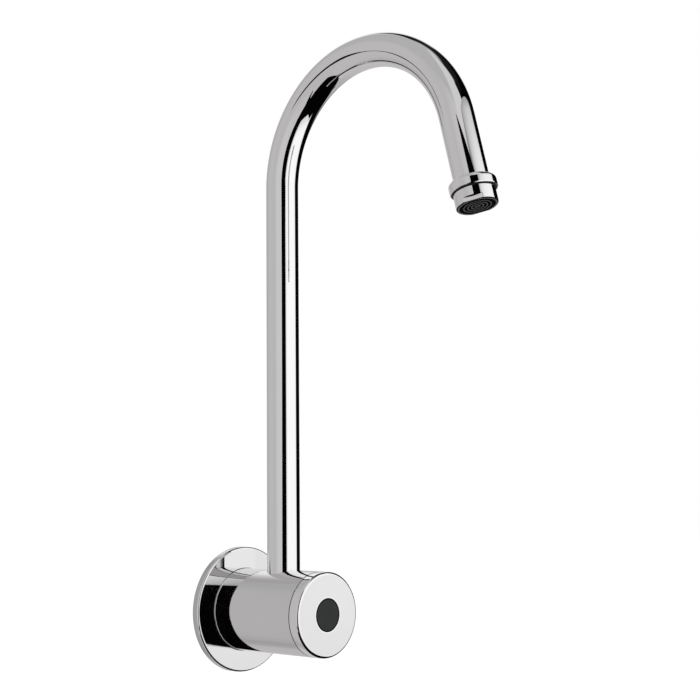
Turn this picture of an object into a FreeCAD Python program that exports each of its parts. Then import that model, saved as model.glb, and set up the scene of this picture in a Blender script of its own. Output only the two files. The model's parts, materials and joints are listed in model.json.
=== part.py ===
import FreeCAD, Part
import math
import os
import re
import Sketcher

# A wall-mounted basin tap with an electric eye. A round flange and a level round body stand out
# from the wall, the eye looks forward through the body's flat front cap, and a swan-neck spout
# rises from the top of the body. Millimetres, degrees and +Z up. The wall is the plane y = 0, the
# tap stands towards -Y, and the origin is on the body's axis. "Depth" is the distance from the
# wall, "height" is z, and "drop" is the distance along the spout's leg past the end of its arch.

SIZES = {
    # fits
    "fit_gap": 0.05,
    "loose_gap": 0.2,
    "seal_gap": 0.02,
    # wall flange
    "flange_diameter": 84.0,
    "flange_depth": 5.6,
    "flange_wall": 1.6,
    "flange_edge": 1.3,
    "flange_seal_width": 4.0,
    # body casting
    "body_diameter": 55.0,
    "body_wall": 4.0,
    "body_edge": 0.2,
    "rear_cavity": 6.5,
    "boss_set_back": 0.6,
    "socket_back_wall": 2.45,
    "socket_front_wall": 2.95,
    # front cap
    "cap_seam": 0.25,
    "cap_length": 8.0,
    "cap_wall": 3.0,
    "cap_edge": 1.9,
    "spigot_wall": 2.6,
    "spigot_stand_off": 0.4,
    "cap_groove_inset": 3.8,
    "cap_groove_width": 2.2,
    "cap_groove_floor": 1.25,
    "lock_screw_inset": 1.9,
    "lock_screw_diameter": 3.0,
    "lock_screw_bite": 1.1,
    "lock_key": 1.5,
    "lock_key_depth": 1.6,
    # spout
    "tube_depth": 43.5,
    "tube_diameter": 22.0,
    "tube_wall": 1.2,
    "arch_height": 286.0,
    "arch_radius": 78.0,
    "bend_angle": 166.0,
    "leg_length": 45.0,
    "socket_floor": 5.0,
    "foot_top_cover": 3.0,
    "foot_spigot": 9.5,
    "foot_wall": 3.2,
    "foot_ring_section": 1.62,
    "foot_ring_floor_gap": 0.11,
    "foot_ring_side_gap": 0.19,
    "foot_ring_rise": 3.0,
    "foot_ring_pitch": 5.0,
    "thrust_washer_thickness": 1.0,
    "stop_screw_inset": 3.5,
    "stop_screw_diameter": 4.0,
    "stop_screw_stand": 4.0,
    "dog_diameter": 2.2,
    "dog_reach": 1.5,
    "stop_key": 2.0,
    "stop_key_depth": 2.2,
    "swivel_angle": 60.0,
    "stop_slack": 0.5,
    # outlet collar and aerator
    "thread_step": 1.0,
    "collar_wall": 2.75,
    "collar_overlap": 2.2,
    "collar_length": 7.0,
    "collar_round": 2.4,
    "housing_step": 1.0,
    "housing_gap": 0.6,
    "housing_neck": 1.6,
    "housing_length": 9.6,
    "housing_wall": 1.85,
    "housing_edge": 0.35,
    "flat_length": 3.8,
    "flat_cut": 1.5,
    "flat_turn": 153.0,
    "insert_set_back": 0.4,
    "insert_length": 6.5,
    "insert_ring_pitch": 2.4,
    "insert_ring_width": 0.9,
    "insert_ring_height": 1.0,
    "screen_thickness": 0.8,
    "regulator_thickness": 2.4,
    "aerator_washer_thickness": 1.6,
    # inlet
    "inlet_thread_diameter": 20.96,
    "inlet_length": 16.0,
    "inlet_shoulder": 1.2,
    "inlet_runout": 0.2,
    "inlet_recess_gap": 0.72,
    "inlet_step": 1.48,
    "inlet_screw_depth": 14.0,
    "inlet_bore": 13.0,
    "inlet_seal_section": 1.7,
    "filter_length": 6.0,
    "filter_diameter": 16.0,
    "filter_wall": 0.8,
    # check valve
    "check_step": 1.0,
    "check_outlet_room": 2.0,
    "check_floor_wall": 1.45,
    "check_wall": 1.7,
    "check_seat_thickness": 2.4,
    "check_seat_bore": 8.0,
    "check_hub_thickness": 2.0,
    "check_port": 2.2,
    "check_port_inset": 1.35,
    "poppet_gap": 0.95,
    "poppet_thickness": 1.6,
    "poppet_stem": 2.4,
    "check_seal_thickness": 0.6,
    "check_seal_width": 1.2,
    "check_travel": 2.5,
    "check_spring_wire": 0.5,
    "check_spring_diameter": 6.6,
    "check_spring_turns": 5.0,
    # diaphragm valve
    "valve_height": -6.0,
    "outlet_passage": 7.2,
    "seat_diameter": 9.2,
    "seat_length": 6.0,
    "seat_bore": 6.6,
    "chamber_inner": 11.6,
    "chamber_rim": 1.5,
    "chamber_depth": 3.0,
    "inlet_passage": 4.4,
    "inlet_passage_offset": 8.6,
    "membrane_to_screws": 1.6,
    "membrane_thickness": 1.0,
    "plate_diameter": 10.0,
    "plate_thickness": 2.2,
    "bleed_hole": 0.8,
    "bonnet_side_gap": 0.5,
    "bonnet_height": 8.5,
    "bonnet_roof": 3.0,
    "bonnet_grip": 2.0,
    "bonnet_rim_gap": 0.05,
    "bonnet_screw_edge": 2.4,
    "bonnet_screw_diameter": 2.5,
    "bonnet_screw_length": 15.0,
    "bonnet_screw_head": 4.2,
    "bonnet_screw_head_height": 1.6,
    # solenoid
    "armature_diameter": 7.3,
    "armature_length": 10.3,
    "armature_travel": 1.6,
    "armature_seal_diameter": 3.6,
    "armature_seal_length": 1.3,
    "core_wall": 0.5,
    "core_flange_diameter": 12.0,
    "core_flange_thickness": 1.0,
    "fixed_core_length": 2.95,
    "core_spring_pocket": 4.2,
    "core_spring_pocket_depth": 4.3,
    "core_spring_wire": 0.35,
    "core_spring_turns": 5.0,
    "coil_diameter": 18.0,
    "coil_length": 8.4,
    "bobbin_flange": 1.1,
    "bobbin_wall": 0.9,
    "winding_set_back": 0.3,
    "yoke_width": 12.0,
    "yoke_thickness": 1.0,
    "yoke_side_gap": 0.4,
    "clip_diameter": 12.0,
    "clip_thickness": 0.5,
    # electric eye
    "window_diameter": 21.4,
    "window_thickness": 1.95,
    "window_ledge": 1.5,
    "window_seal_thickness": 0.3,
    "window_set_back": 0.05,
    "window_edge": 0.4,
    "board_edge_gap": 0.55,
    "board_clearance": 0.4,
    "board_thickness": 1.2,
    "board_screw_edge": 3.8,
    "board_screw_turn": 35.0,
    "board_screw_diameter": 2.0,
    "board_screw_length": 4.2,
    "board_screw_head": 3.6,
    "board_screw_head_height": 1.3,
    "board_post_diameter": 5.6,
    "board_post_length": 2.8,
    "eye_offset": 3.8,
    "emitter_diameter": 5.0,
    "emitter_window_gap": 0.6,
    "receiver_width": 3.6,
    "receiver_height": 3.4,
    "receiver_thickness": 1.6,
    "baffle_thickness": 0.8,
    "baffle_height": 14.0,
    "chip_width": 7.0,
    "chip_thickness": 1.0,
    "chip_height": 11.0,
    # leads
    "lead_diameter": 1.8,
    "supply_passage": 4.0,
    "supply_inset": 3.5,
    "supply_height": -3.2,
    "supply_socket_diameter": 5.6,
    "supply_socket_length": 8.0,
    "supply_nose_length": 6.0,
    "supply_mouth": 3.8,
    "supply_mouth_depth": 6.0,
    "supply_lead_rise": 2.5,
    "connector_width": 4.0,
    "connector_length": 6.0,
    "connector_height": 4.8,
    "supply_connector_inset": 3.85,
    "valve_connector_inset": 5.35,
    "valve_connector_height": 6.0,
    "valve_lead_across": -4.0,
    "valve_lead_set_back": 3.9,
}

FULL_TURN = 360
LEAST_CUT = 1e-3
ARC_SHARE = 0.45
VOLUME_ERROR = 1e-3
WHOLE = "0"

doc = FreeCAD.newDocument("sensor_tap")
sheet = doc.addObject("Spreadsheet::Sheet", "sizes")
for row, (alias, number) in enumerate(SIZES.items(), start=1):
    sheet.set("A%d" % row, alias.replace("_", " "))
    sheet.set("B%d" % row, str(number))
    sheet.setAlias("B%d" % row, alias)
doc.recompute()

nodes = {}


def bound(text):
    """An expression with each size's name turned into its cell in the sheet."""
    return re.sub(r"[a-z]\w*", lambda found: cell(found.group()), text)


def cell(word):
    return "sizes." + word if word in SIZES else word


def value(text):
    return float(sheet.evalExpression(bound(text)))


# The depths stack up from the spout's axis: the block round its socket, the valve on the block,
# the solenoid on the valve, the board in front of the solenoid, and the cap in front of the board.
SOCKET_BORE = "(tube_diameter + 2 * fit_gap)"
SOCKET_BACK = "(tube_depth - %s / 2)" % SOCKET_BORE
BLOCK_BACK = "(%s - socket_back_wall)" % SOCKET_BACK
BLOCK_FRONT = "(tube_depth + %s / 2 + socket_front_wall)" % SOCKET_BORE
MEMBRANE_FRONT = "(%s + membrane_thickness)" % BLOCK_FRONT
PLATE_FRONT = "(%s + plate_thickness)" % MEMBRANE_FRONT
BONNET_FRONT = "(%s + bonnet_height)" % BLOCK_FRONT
CORE_FLANGE = "(%s + core_flange_thickness)" % BONNET_FRONT
COIL_FRONT = "(%s + coil_length)" % CORE_FLANGE
YOKE_FRONT = "(%s + yoke_thickness)" % COIL_FRONT
CLIP_FRONT = "(%s + clip_thickness)" % YOKE_FRONT
BOARD_BACK = "(%s + board_clearance)" % CLIP_FRONT
BOARD_FRONT = "(%s + board_thickness)" % BOARD_BACK
CAP_INSIDE = "(%s + board_post_length)" % BOARD_FRONT
CAP_DEPTH = "(%s + cap_wall)" % CAP_INSIDE
BODY_DEPTH = "(%s - cap_length)" % CAP_DEPTH
SPIGOT_START = "(%s + bonnet_screw_head_height + spigot_stand_off)" % BONNET_FRONT
LOCK_DEPTH = "(%s + lock_screw_inset)" % SPIGOT_START

# The radii step in from the body's outside.
BODY_INSIDE = "(body_diameter / 2 - body_wall)"
BOSS = "(%s - rear_cavity)" % BODY_INSIDE
SPIGOT = "(%s - fit_gap)" % BODY_INSIDE
SPIGOT_INSIDE = "(%s - spigot_wall)" % SPIGOT
BOARD_RADIUS = "(%s - board_edge_gap)" % SPIGOT_INSIDE
BONNET_RADIUS = "(%s + valve_height - bonnet_side_gap)" % BODY_INSIDE
SCREW_RING = "(%s - bonnet_screw_edge)" % BONNET_RADIUS
MEMBRANE_RADIUS = "(%s - membrane_to_screws)" % SCREW_RING
STOP_HEIGHT = "(%s - stop_screw_inset)" % BODY_INSIDE
FOOT_TOP = "(body_diameter / 2 - foot_top_cover)"
SUPPLY_ACROSS = "(%s - supply_inset)" % BODY_INSIDE

# Where a piece's own frame lies: its turn about X, then its place. The piece's own Z runs along
# the depth, up the spout's foot, or down the spout's leg.
LEVEL = ("90", "0", "0", "0")
VALVE = ("90", "0", "0", "valve_height")
SUPPLY = ("90", SUPPLY_ACROSS, "0", "supply_height")
UPRIGHT = ("0", "0", "-tube_depth", "0")
LOCKING = ("0", "0", "-" + LOCK_DEPTH, "0")
STOPPING = ("90", "0", "0", STOP_HEIGHT)
OUTLET = ("bend_angle", "0", "-tube_depth - arch_radius * (1 - cos(bend_angle))",
          "arch_height + arch_radius * sin(bend_angle)")


def new_body(name, seat):
    """An empty body in its own frame, kept as a node under its label."""
    body = doc.addObject("PartDesign::Body", name)
    body.Label = name
    turn, *place = seat
    body.Placement = FreeCAD.Placement(
        FreeCAD.Vector(), FreeCAD.Rotation(FreeCAD.Vector(1, 0, 0), value(turn)))
    body.setExpression("Placement.Rotation.Angle", bound(turn))
    for axis, text in zip("xyz", place):
        body.setExpression("Placement.Base." + axis, bound(text))
    nodes[name] = body
    return body


def new_sketch(body, name, plane, offset=WHOLE):
    drawing = body.newObject("Sketcher::SketchObject", name)
    planes = {feature.Role: feature for feature in body.Origin.OriginFeatures}
    drawing.AttachmentSupport = [(planes[plane], "")]
    drawing.MapMode = "FlatFace"
    if offset != WHOLE:
        drawing.setExpression("AttachmentOffset.Base.z", bound(offset))
    return drawing


def pin_point(drawing, line, end, across, up):
    """Hold one point of a sketch at two expressions, or on an axis where one is "0"."""
    for kind, text, axis in (("DistanceX", across, -2), ("DistanceY", up, -1)):
        if text == "0":
            drawing.addConstraint(Sketcher.Constraint("PointOnObject", line, end, axis))
            continue
        rule = Sketcher.Constraint(kind, -1, 1, line, end, value(text))
        index = drawing.addConstraint(rule)
        drawing.setExpression("Constraints[%d]" % index, bound(text))


def draw_outline(drawing, corners):
    """A closed outline through corners, each a pair of expressions."""
    points = [FreeCAD.Vector(value(across), value(up), 0) for across, up in corners]
    first = drawing.GeometryCount
    count = len(points)
    for number in range(count):
        line = Part.LineSegment(points[number], points[(number + 1) % count])
        drawing.addGeometry(line, False)
    for number in range(count):
        following = first + (number + 1) % count
        drawing.addConstraint(
            Sketcher.Constraint("Coincident", first + number, 2, following, 1))
    for number, (across, up) in enumerate(corners):
        pin_point(drawing, first + number, 1, across, up)


def draw_circles(drawing, circles):
    """Circles, each given as across, up and diameter."""
    for across, up, diameter in circles:
        centre = FreeCAD.Vector(value(across), value(up), 0)
        shape = Part.Circle(centre, FreeCAD.Vector(0, 0, 1), value(diameter) / 2)
        circle = drawing.addGeometry(shape, False)
        pin_point(drawing, circle, 3, across, up)
        index = drawing.addConstraint(
            Sketcher.Constraint("Diameter", circle, value(diameter)))
        drawing.setExpression("Constraints[%d]" % index, bound(diameter))


def box_corners(across, up, width, height):
    """The four corners of a rectangle about a centre."""
    return [("%s %s (%s) / 2" % (across, side, width), "%s %s (%s) / 2" % (up, edge, height))
            for side, edge in (("-", "-"), ("+", "-"), ("+", "+"), ("-", "+"))]


def hexagon(across_flats):
    """The corners of a hexagon about the sketch's origin, two of them on its X axis."""
    return [("(%s) / sqrt(3) * cos(%d)" % (across_flats, turn),
             "(%s) / sqrt(3) * sin(%d)" % (across_flats, turn) if turn % 180 else "0")
            for turn in range(0, FULL_TURN, 60)]


def turned(name, corners, seat):
    """A piece turned about its own Z axis; corners are radius and distance along it."""
    body = new_body(name, seat)
    drawing = new_sketch(body, name + "_section", "XZ_Plane")
    draw_outline(drawing, corners)
    return spin(body, drawing)


def ring(name, centre_diameter, section, along, seat, body=None):
    """A round-section ring, or one more of them in a node that has some already."""
    body = body or new_body(name, seat)
    drawing = new_sketch(body, name + "_ring_section", "XZ_Plane")
    draw_circles(drawing, [("(%s) / 2" % centre_diameter, along, section)])
    return spin(body, drawing)


def spin(body, drawing):
    turning = body.newObject("PartDesign::Revolution", drawing.Name + "_turning")
    turning.Profile = drawing
    turning.ReferenceAxis = (drawing, ["V_Axis"])
    turning.Angle = FULL_TURN
    doc.recompute()
    return body


def add(body, name, start, stop, circles=(), corners=()):
    """Pad circles or an outline, drawn across the piece's Z axis, from start to stop."""
    drawing = new_sketch(body, name, "XY_Plane", start)
    draw_circles(drawing, circles)
    if corners:
        draw_outline(drawing, corners)
    pad = body.newObject("PartDesign::Pad", name + "_pad")
    pad.Profile = drawing
    pad.setExpression("Length", bound("(%s) - (%s)" % (stop, start)))
    doc.recompute()
    return body


def cut(body, name, start, stop, circles=(), corners=(), plane="XY_Plane"):
    """Cut circles or an outline from start to stop, along Z, or along Y on the XZ plane."""
    before = body.Shape.Volume
    offset = stop if plane == "XY_Plane" else "-(%s)" % start
    drawing = new_sketch(body, name, plane, offset)
    draw_circles(drawing, circles)
    if corners:
        draw_outline(drawing, corners)
    pocket = body.newObject("PartDesign::Pocket", name + "_pocket")
    pocket.Profile = drawing
    pocket.setExpression("Length", bound("(%s) - (%s)" % (stop, start)))
    doc.recompute()
    if before - body.Shape.Volume < LEAST_CUT:
        raise RuntimeError(name + " cuts nothing")
    return body


def ease(body, name, kind, size, spots):
    """Fillet or chamfer the round edges at the given diameters and places along Z."""
    wanted = [(value(diameter) / 2, value(along)) for diameter, along in spots]
    base = body.Tip
    edges = []
    for number, edge in enumerate(base.Shape.Edges, start=1):
        curve = edge.Curve
        if curve.TypeId != "Part::GeomCircle":
            continue
        for radius, along in wanted:
            if math.isclose(curve.Radius, radius, abs_tol=1e-4) and \
                    math.isclose(curve.Center.z, along, abs_tol=1e-4):
                edges.append("Edge%d" % number)
    if len(edges) < len(wanted):
        raise RuntimeError(name + " finds no edge")
    easing = body.newObject("PartDesign::" + kind, name)
    easing.Base = (base, edges)
    easing.setExpression("Radius" if kind == "Fillet" else "Size", bound(size))
    doc.recompute()
    return body


def coiled(name, diameter, wire, turns, start, stop, seat):
    """A compression spring of round wire about the piece's own Z axis."""
    body = new_body(name, seat)
    drawing = new_sketch(body, name + "_wire", "XZ_Plane")
    draw_circles(drawing, [("(%s) / 2" % diameter, "(%s) + (%s) / 2" % (start, wire), wire)])
    helix = body.newObject("PartDesign::AdditiveHelix", name + "_helix")
    helix.Profile = drawing
    helix.ReferenceAxis = (drawing, ["V_Axis"])
    helix.Mode = "height-turns-angle"
    helix.setExpression("Height", bound("(%s) - (%s) - (%s)" % (stop, start, wire)))
    helix.setExpression("Turns", bound(turns))
    doc.recompute()
    return body


def lead(name, route):
    """An insulated lead: straight runs joined by tangent arcs through the route's corners."""
    points = [FreeCAD.Vector(value(across), -value(depth), value(height))
              for across, height, depth in route]
    edges = []
    reached = points[0]
    for before, corner, after in zip(points, points[1:], points[2:]):
        back = (before - corner).normalize()
        ahead = (after - corner).normalize()
        shorter = min(corner.distanceToPoint(before), corner.distanceToPoint(after))
        start = corner + back * ARC_SHARE * shorter
        finish = corner + ahead * ARC_SHARE * shorter
        half_turn = (math.pi - back.getAngle(ahead)) / 2
        radius = ARC_SHARE * shorter / math.tan(half_turn)
        print("%s bends at radius %.1f" % (name, radius))
        inward = (back + ahead).normalize()
        to_centre = radius / math.cos(half_turn)
        middle = corner + inward * (to_centre - radius)
        edges += [Part.LineSegment(reached, start).toShape(),
                  Part.Arc(start, middle, finish).toShape()]
        reached = finish
    edges.append(Part.LineSegment(reached, points[-1]).toShape())
    path = Part.Wire(edges)
    radius = value("lead_diameter / 2")
    direction = points[1] - points[0]
    section = Part.Wire([Part.Circle(points[0], direction, radius).toShape()])
    tube = path.makePipeShell([section], True, False)
    expected = math.pi * radius ** 2 * path.Length
    if abs(tube.Volume / expected - 1) > VOLUME_ERROR:
        raise RuntimeError(name + " has lost its section")
    node = doc.addObject("Part::Feature", name)
    node.Label = name
    node.Shape = tube
    node.Placement = FreeCAD.Placement()
    nodes[name] = node


# ---- wall flange: a pressed cover with a hollow back, round the body, on a foam ring ----
FLANGE_BORE = "body_diameter / 2 + fit_gap"
FLANGE_RIM = "flange_diameter / 2 - flange_wall"
FLANGE_INSIDE = "flange_depth - flange_wall"
flange = turned("wall_flange", [
    (FLANGE_BORE, "flange_depth"), ("flange_diameter / 2", "flange_depth"),
    ("flange_diameter / 2", "0"), (FLANGE_RIM, "0"), (FLANGE_RIM, FLANGE_INSIDE),
    (FLANGE_BORE, FLANGE_INSIDE)], LEVEL)
ease(flange, "flange_rim_round", "Fillet", "flange_edge", [("flange_diameter", "flange_depth")])
SEAL_OUTSIDE = FLANGE_RIM + " - loose_gap"
turned("flange_seal", [
    (SEAL_OUTSIDE, "0"), (SEAL_OUTSIDE, FLANGE_INSIDE),
    (SEAL_OUTSIDE + " - flange_seal_width", FLANGE_INSIDE),
    (SEAL_OUTSIDE + " - flange_seal_width", "0")], LEVEL)

# ---- body: a casting with a central inlet boss, a solid valve block and an open front ----
INLET_SCREW = "(inlet_thread_diameter / 2 - inlet_step)"
INLET_RECESS = "(inlet_shoulder + inlet_seal_section + loose_gap)"
RECESS_RADIUS = "(inlet_thread_diameter / 2 + inlet_recess_gap)"
CHECK_BORE = "(%s - check_step)" % INLET_SCREW
CHECK_FLOOR = "(%s - check_floor_wall)" % SOCKET_BACK
CHECK_END = "(%s - check_outlet_room)" % CHECK_FLOOR
body_shell = turned("body_shell", [
    ("0", CHECK_FLOOR), (CHECK_BORE, CHECK_FLOOR), (CHECK_BORE, "inlet_screw_depth"),
    (INLET_SCREW, "inlet_screw_depth"), (INLET_SCREW, INLET_RECESS),
    (RECESS_RADIUS, INLET_RECESS), (RECESS_RADIUS, "boss_set_back"), (BOSS, "boss_set_back"),
    (BOSS, BLOCK_BACK),
    (BODY_INSIDE, BLOCK_BACK), (BODY_INSIDE, "0"), ("body_diameter / 2", "0"),
    ("body_diameter / 2", BODY_DEPTH), (BODY_INSIDE, BODY_DEPTH), (BODY_INSIDE, BLOCK_FRONT),
    ("0", BLOCK_FRONT)], LEVEL)
ease(body_shell, "body_front_edge", "Chamfer", "body_edge", [("body_diameter", BODY_DEPTH)])
cut(body_shell, "spout_socket", "socket_floor", "body_diameter",
    circles=[("0", "tube_depth", SOCKET_BORE)], plane="XZ_Plane")
cut(body_shell, "rising_passage", "valve_height", "socket_floor",
    circles=[("0", "tube_depth", "outlet_passage")], plane="XZ_Plane")
cut(body_shell, "outlet_bore", "tube_depth", BLOCK_FRONT,
    circles=[("0", "valve_height", "outlet_passage")])
SEAT_BACK = "(%s - seat_length)" % BLOCK_FRONT
cut(body_shell, "seat_pocket", SEAT_BACK, BLOCK_FRONT,
    circles=[("0", "valve_height", "seat_diameter")])
CHAMBER_FLOOR = "(%s - chamber_depth)" % BLOCK_FRONT
cut(body_shell, "inlet_chamber", CHAMBER_FLOOR, BLOCK_FRONT, circles=[
    ("0", "valve_height", "chamber_inner"),
    ("0", "valve_height", "2 * (%s - chamber_rim)" % MEMBRANE_RADIUS)])
cut(body_shell, "inlet_passages", CHECK_END, CHAMBER_FLOOR, circles=[
    (side + "inlet_passage_offset", "0", "inlet_passage") for side in ("", "-")])
cut(body_shell, "lead_passage", BLOCK_BACK, BLOCK_FRONT,
    circles=[(SUPPLY_ACROSS, "supply_height", "supply_passage")])
SCREW_TIP = "(%s - bonnet_screw_length)" % BONNET_FRONT
BONNET_SCREWS = [("%s * cos(%d)" % (SCREW_RING, turn), "%s * sin(%d)" % (SCREW_RING, turn))
                 for turn in (45, 135, 225, 315)]
cut(body_shell, "bonnet_screw_holes", SCREW_TIP, BLOCK_FRONT, circles=[
    (across, "valve_height + " + up, "bonnet_screw_diameter") for across, up in BONNET_SCREWS])
cut(body_shell, "stop_screw_hole", BLOCK_BACK, "tube_depth",
    circles=[("0", STOP_HEIGHT, "stop_screw_diameter")])

# ---- front cap: a turned cover with a spigot, held by one grub screw from below ----
CAP_BACK = "(%s + cap_seam)" % BODY_DEPTH
GROOVE_START = "(%s + cap_groove_inset)" % SPIGOT_START
GROOVE_END = "(%s + cap_groove_width)" % GROOVE_START
GROOVE_FLOOR = "(%s - cap_groove_floor)" % SPIGOT
WINDOW_FRONT = "(%s - window_set_back)" % CAP_DEPTH
WINDOW_START = "(%s - window_thickness)" % WINDOW_FRONT
WINDOW_BACK = "(%s - window_seal_thickness)" % WINDOW_START
WINDOW_BORE = "(window_diameter / 2 + fit_gap)"
LEDGE_BORE = "(window_diameter / 2 - window_ledge)"
cap = turned("front_cap", [
    (LEDGE_BORE, CAP_INSIDE), (LEDGE_BORE, WINDOW_BACK), (WINDOW_BORE, WINDOW_BACK),
    (WINDOW_BORE, CAP_DEPTH), ("body_diameter / 2", CAP_DEPTH),
    ("body_diameter / 2", CAP_BACK), (SPIGOT, CAP_BACK), (SPIGOT, GROOVE_END),
    (GROOVE_FLOOR, GROOVE_END), (GROOVE_FLOOR, GROOVE_START), (SPIGOT, GROOVE_START),
    (SPIGOT, SPIGOT_START), (SPIGOT_INSIDE, SPIGOT_START), (SPIGOT_INSIDE, CAP_INSIDE)], LEVEL)
ease(cap, "cap_front_edge", "Fillet", "cap_edge", [("body_diameter", CAP_DEPTH)])
ease(cap, "cap_back_edge", "Chamfer", "body_edge", [("body_diameter", CAP_BACK)])
ease(cap, "window_edge_bevel", "Chamfer", "window_edge", [("2 * " + WINDOW_BORE, CAP_DEPTH)])
BOARD_SCREW_RING = "(%s - board_screw_edge)" % BOARD_RADIUS
BOARD_SCREWS = [
    (side + BOARD_SCREW_RING + " * cos(board_screw_turn)",
     side + BOARD_SCREW_RING + " * sin(board_screw_turn)") for side in ("", "-")]
add(cap, "board_posts", BOARD_FRONT, CAP_INSIDE,
    circles=[place + ("board_post_diameter",) for place in BOARD_SCREWS])
SCREW_END = "(%s + board_screw_length)" % BOARD_BACK
cut(cap, "board_screw_holes", BOARD_FRONT, SCREW_END,
    circles=[place + ("board_screw_diameter",) for place in BOARD_SCREWS])
ring("cap_seal", "%s + %s" % (GROOVE_FLOOR, BODY_INSIDE),
     "%s - %s - fit_gap" % (BODY_INSIDE, GROOVE_FLOOR),
     "%s + cap_groove_width / 2" % GROOVE_START, LEVEL)
LOCK_TOP = "-%s + lock_screw_bite" % SPIGOT
LOCK_HOLE = [("0", LOCK_DEPTH, "lock_screw_diameter + 2 * fit_gap")]
for piece, name in ((body_shell, "lock_screw_hole"), (cap, "lock_screw_dimple")):
    cut(piece, name, "-body_diameter", LOCK_TOP, circles=LOCK_HOLE, plane="XZ_Plane")
LOCK_BOTTOM = "-body_diameter / 2 + loose_gap"
lock_screw = turned("cap_lock_screw", [
    ("0", LOCK_BOTTOM), ("lock_screw_diameter / 2", LOCK_BOTTOM),
    ("lock_screw_diameter / 2", LOCK_TOP), ("0", LOCK_TOP)], LOCKING)
cut(lock_screw, "lock_screw_socket", LOCK_BOTTOM, LOCK_BOTTOM + " + lock_key_depth",
    corners=hexagon("lock_key"))

# ---- spout: a bent tube on a brass foot that turns in the body's socket ----
tube = new_body("spout_tube", UPRIGHT)
route = new_sketch(tube, "spout_route", "YZ_Plane")
rise = value("arch_height")
bend = math.radians(value("bend_angle"))
reach = value("arch_radius")
arch_end = FreeCAD.Vector(reach * (math.cos(bend) - 1), rise + reach * math.sin(bend), 0)
leg = FreeCAD.Vector(-math.sin(bend), math.cos(bend), 0) * value("leg_length")
riser_top = FreeCAD.Vector(0, rise, 0)
arch = Part.Circle(FreeCAD.Vector(-reach, rise, 0), FreeCAD.Vector(0, 0, 1), reach)
route.addGeometry(Part.LineSegment(FreeCAD.Vector(0, value(FOOT_TOP), 0), riser_top), False)
route.addGeometry(Part.ArcOfCircle(arch, 0, bend), False)
route.addGeometry(Part.LineSegment(arch_end, arch_end + leg), False)
pin_point(route, 0, 1, "0", FOOT_TOP)
pin_point(route, 0, 2, "0", "arch_height")
route.addConstraint(Sketcher.Constraint("Tangent", 0, 2, 1, 1))
route.addConstraint(Sketcher.Constraint("Tangent", 1, 2, 2, 1))
for rule, size in ((Sketcher.Constraint("Radius", 1, reach), "arch_radius"),
                   (Sketcher.Constraint("Angle", 1, bend), "bend_angle"),
                   (Sketcher.Constraint("Distance", 2, 1, 2, 2, leg.Length), "leg_length")):
    route.setExpression("Constraints[%d]" % route.addConstraint(rule), bound(size))
section = new_sketch(tube, "spout_section", "XY_Plane", FOOT_TOP)
draw_circles(section, [("0", "0", "tube_diameter"), ("0", "0", "tube_diameter - 2 * tube_wall")])
doc.recompute()
pipe = tube.newObject("PartDesign::AdditivePipe", "spout_bend")
pipe.Profile = section
pipe.Spine = (route, ["Edge1", "Edge2", "Edge3"])

TUBE_RADIUS = "tube_diameter / 2"
FOOT_BORE = "(tube_diameter / 2 - foot_wall)"
FOOT_START = "(socket_floor + thrust_washer_thickness)"
FOOT_INSIDE = "(tube_diameter / 2 - tube_wall - fit_gap)"
RING_CENTRE = "(tube_diameter + 2 * (fit_gap - seal_gap) - foot_ring_section)"
FOOT_FLOOR = "(%s / 2 - foot_ring_section / 2 - foot_ring_floor_gap)" % RING_CENTRE
RING_HEIGHTS = ["(%s + foot_ring_rise + %d * foot_ring_pitch)" % (FOOT_START, number)
                for number in range(2)]
foot_outline = [(FOOT_BORE, FOOT_START), (TUBE_RADIUS, FOOT_START)]
for height in RING_HEIGHTS:
    start = height + " - foot_ring_section / 2 - foot_ring_side_gap"
    stop = height + " + foot_ring_section / 2 + foot_ring_side_gap"
    foot_outline += [(TUBE_RADIUS, start), (FOOT_FLOOR, start), (FOOT_FLOOR, stop),
                     (TUBE_RADIUS, stop)]
foot = turned("spout_foot", foot_outline + [
    (TUBE_RADIUS, FOOT_TOP), (FOOT_INSIDE, FOOT_TOP), (FOOT_INSIDE, FOOT_TOP + " + foot_spigot"),
    (FOOT_BORE, FOOT_TOP + " + foot_spigot")], UPRIGHT)
DOG_RADIUS = "(tube_diameter / 2 - dog_reach)"
STOP_FLOOR = "(%s - loose_gap)" % DOG_RADIUS
STOP_HALF = "(dog_diameter / 2 + fit_gap)"
stop_section = new_sketch(foot, "stop_groove_section", "YZ_Plane")
draw_outline(stop_section, [
    (across, "%s %s %s" % (STOP_HEIGHT, side, STOP_HALF))
    for across, side in ((STOP_FLOOR, "-"), ("tube_diameter", "-"), ("tube_diameter", "+"),
                         (STOP_FLOOR, "+"))])
stop_groove = foot.newObject("PartDesign::Groove", "stop_groove")
stop_groove.Profile = stop_section
stop_groove.ReferenceAxis = (stop_section, ["V_Axis"])
stop_groove.Midplane = True
stop_groove.setExpression("Angle", bound(
    "2 * (swivel_angle + stop_slack + asin(dog_diameter / 2 / %s) / (1 deg))" % DOG_RADIUS))
doc.recompute()
rings = ring("spout_o_rings", RING_CENTRE, "foot_ring_section", RING_HEIGHTS[0], UPRIGHT)
ring("upper_o_ring", RING_CENTRE, "foot_ring_section", RING_HEIGHTS[1], UPRIGHT, rings)
turned("thrust_washer", [
    (FOOT_BORE, "socket_floor"), ("tube_diameter / 2 - loose_gap", "socket_floor"),
    ("tube_diameter / 2 - loose_gap", FOOT_START), (FOOT_BORE, FOOT_START)], UPRIGHT)
DOG_TIP = "(tube_depth - %s)" % DOG_RADIUS
SHANK = "(stop_screw_diameter / 2 - fit_gap)"
SHANK_END = "(%s - loose_gap)" % SOCKET_BACK
STOP_START = "(%s - stop_screw_stand)" % BLOCK_BACK
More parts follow.
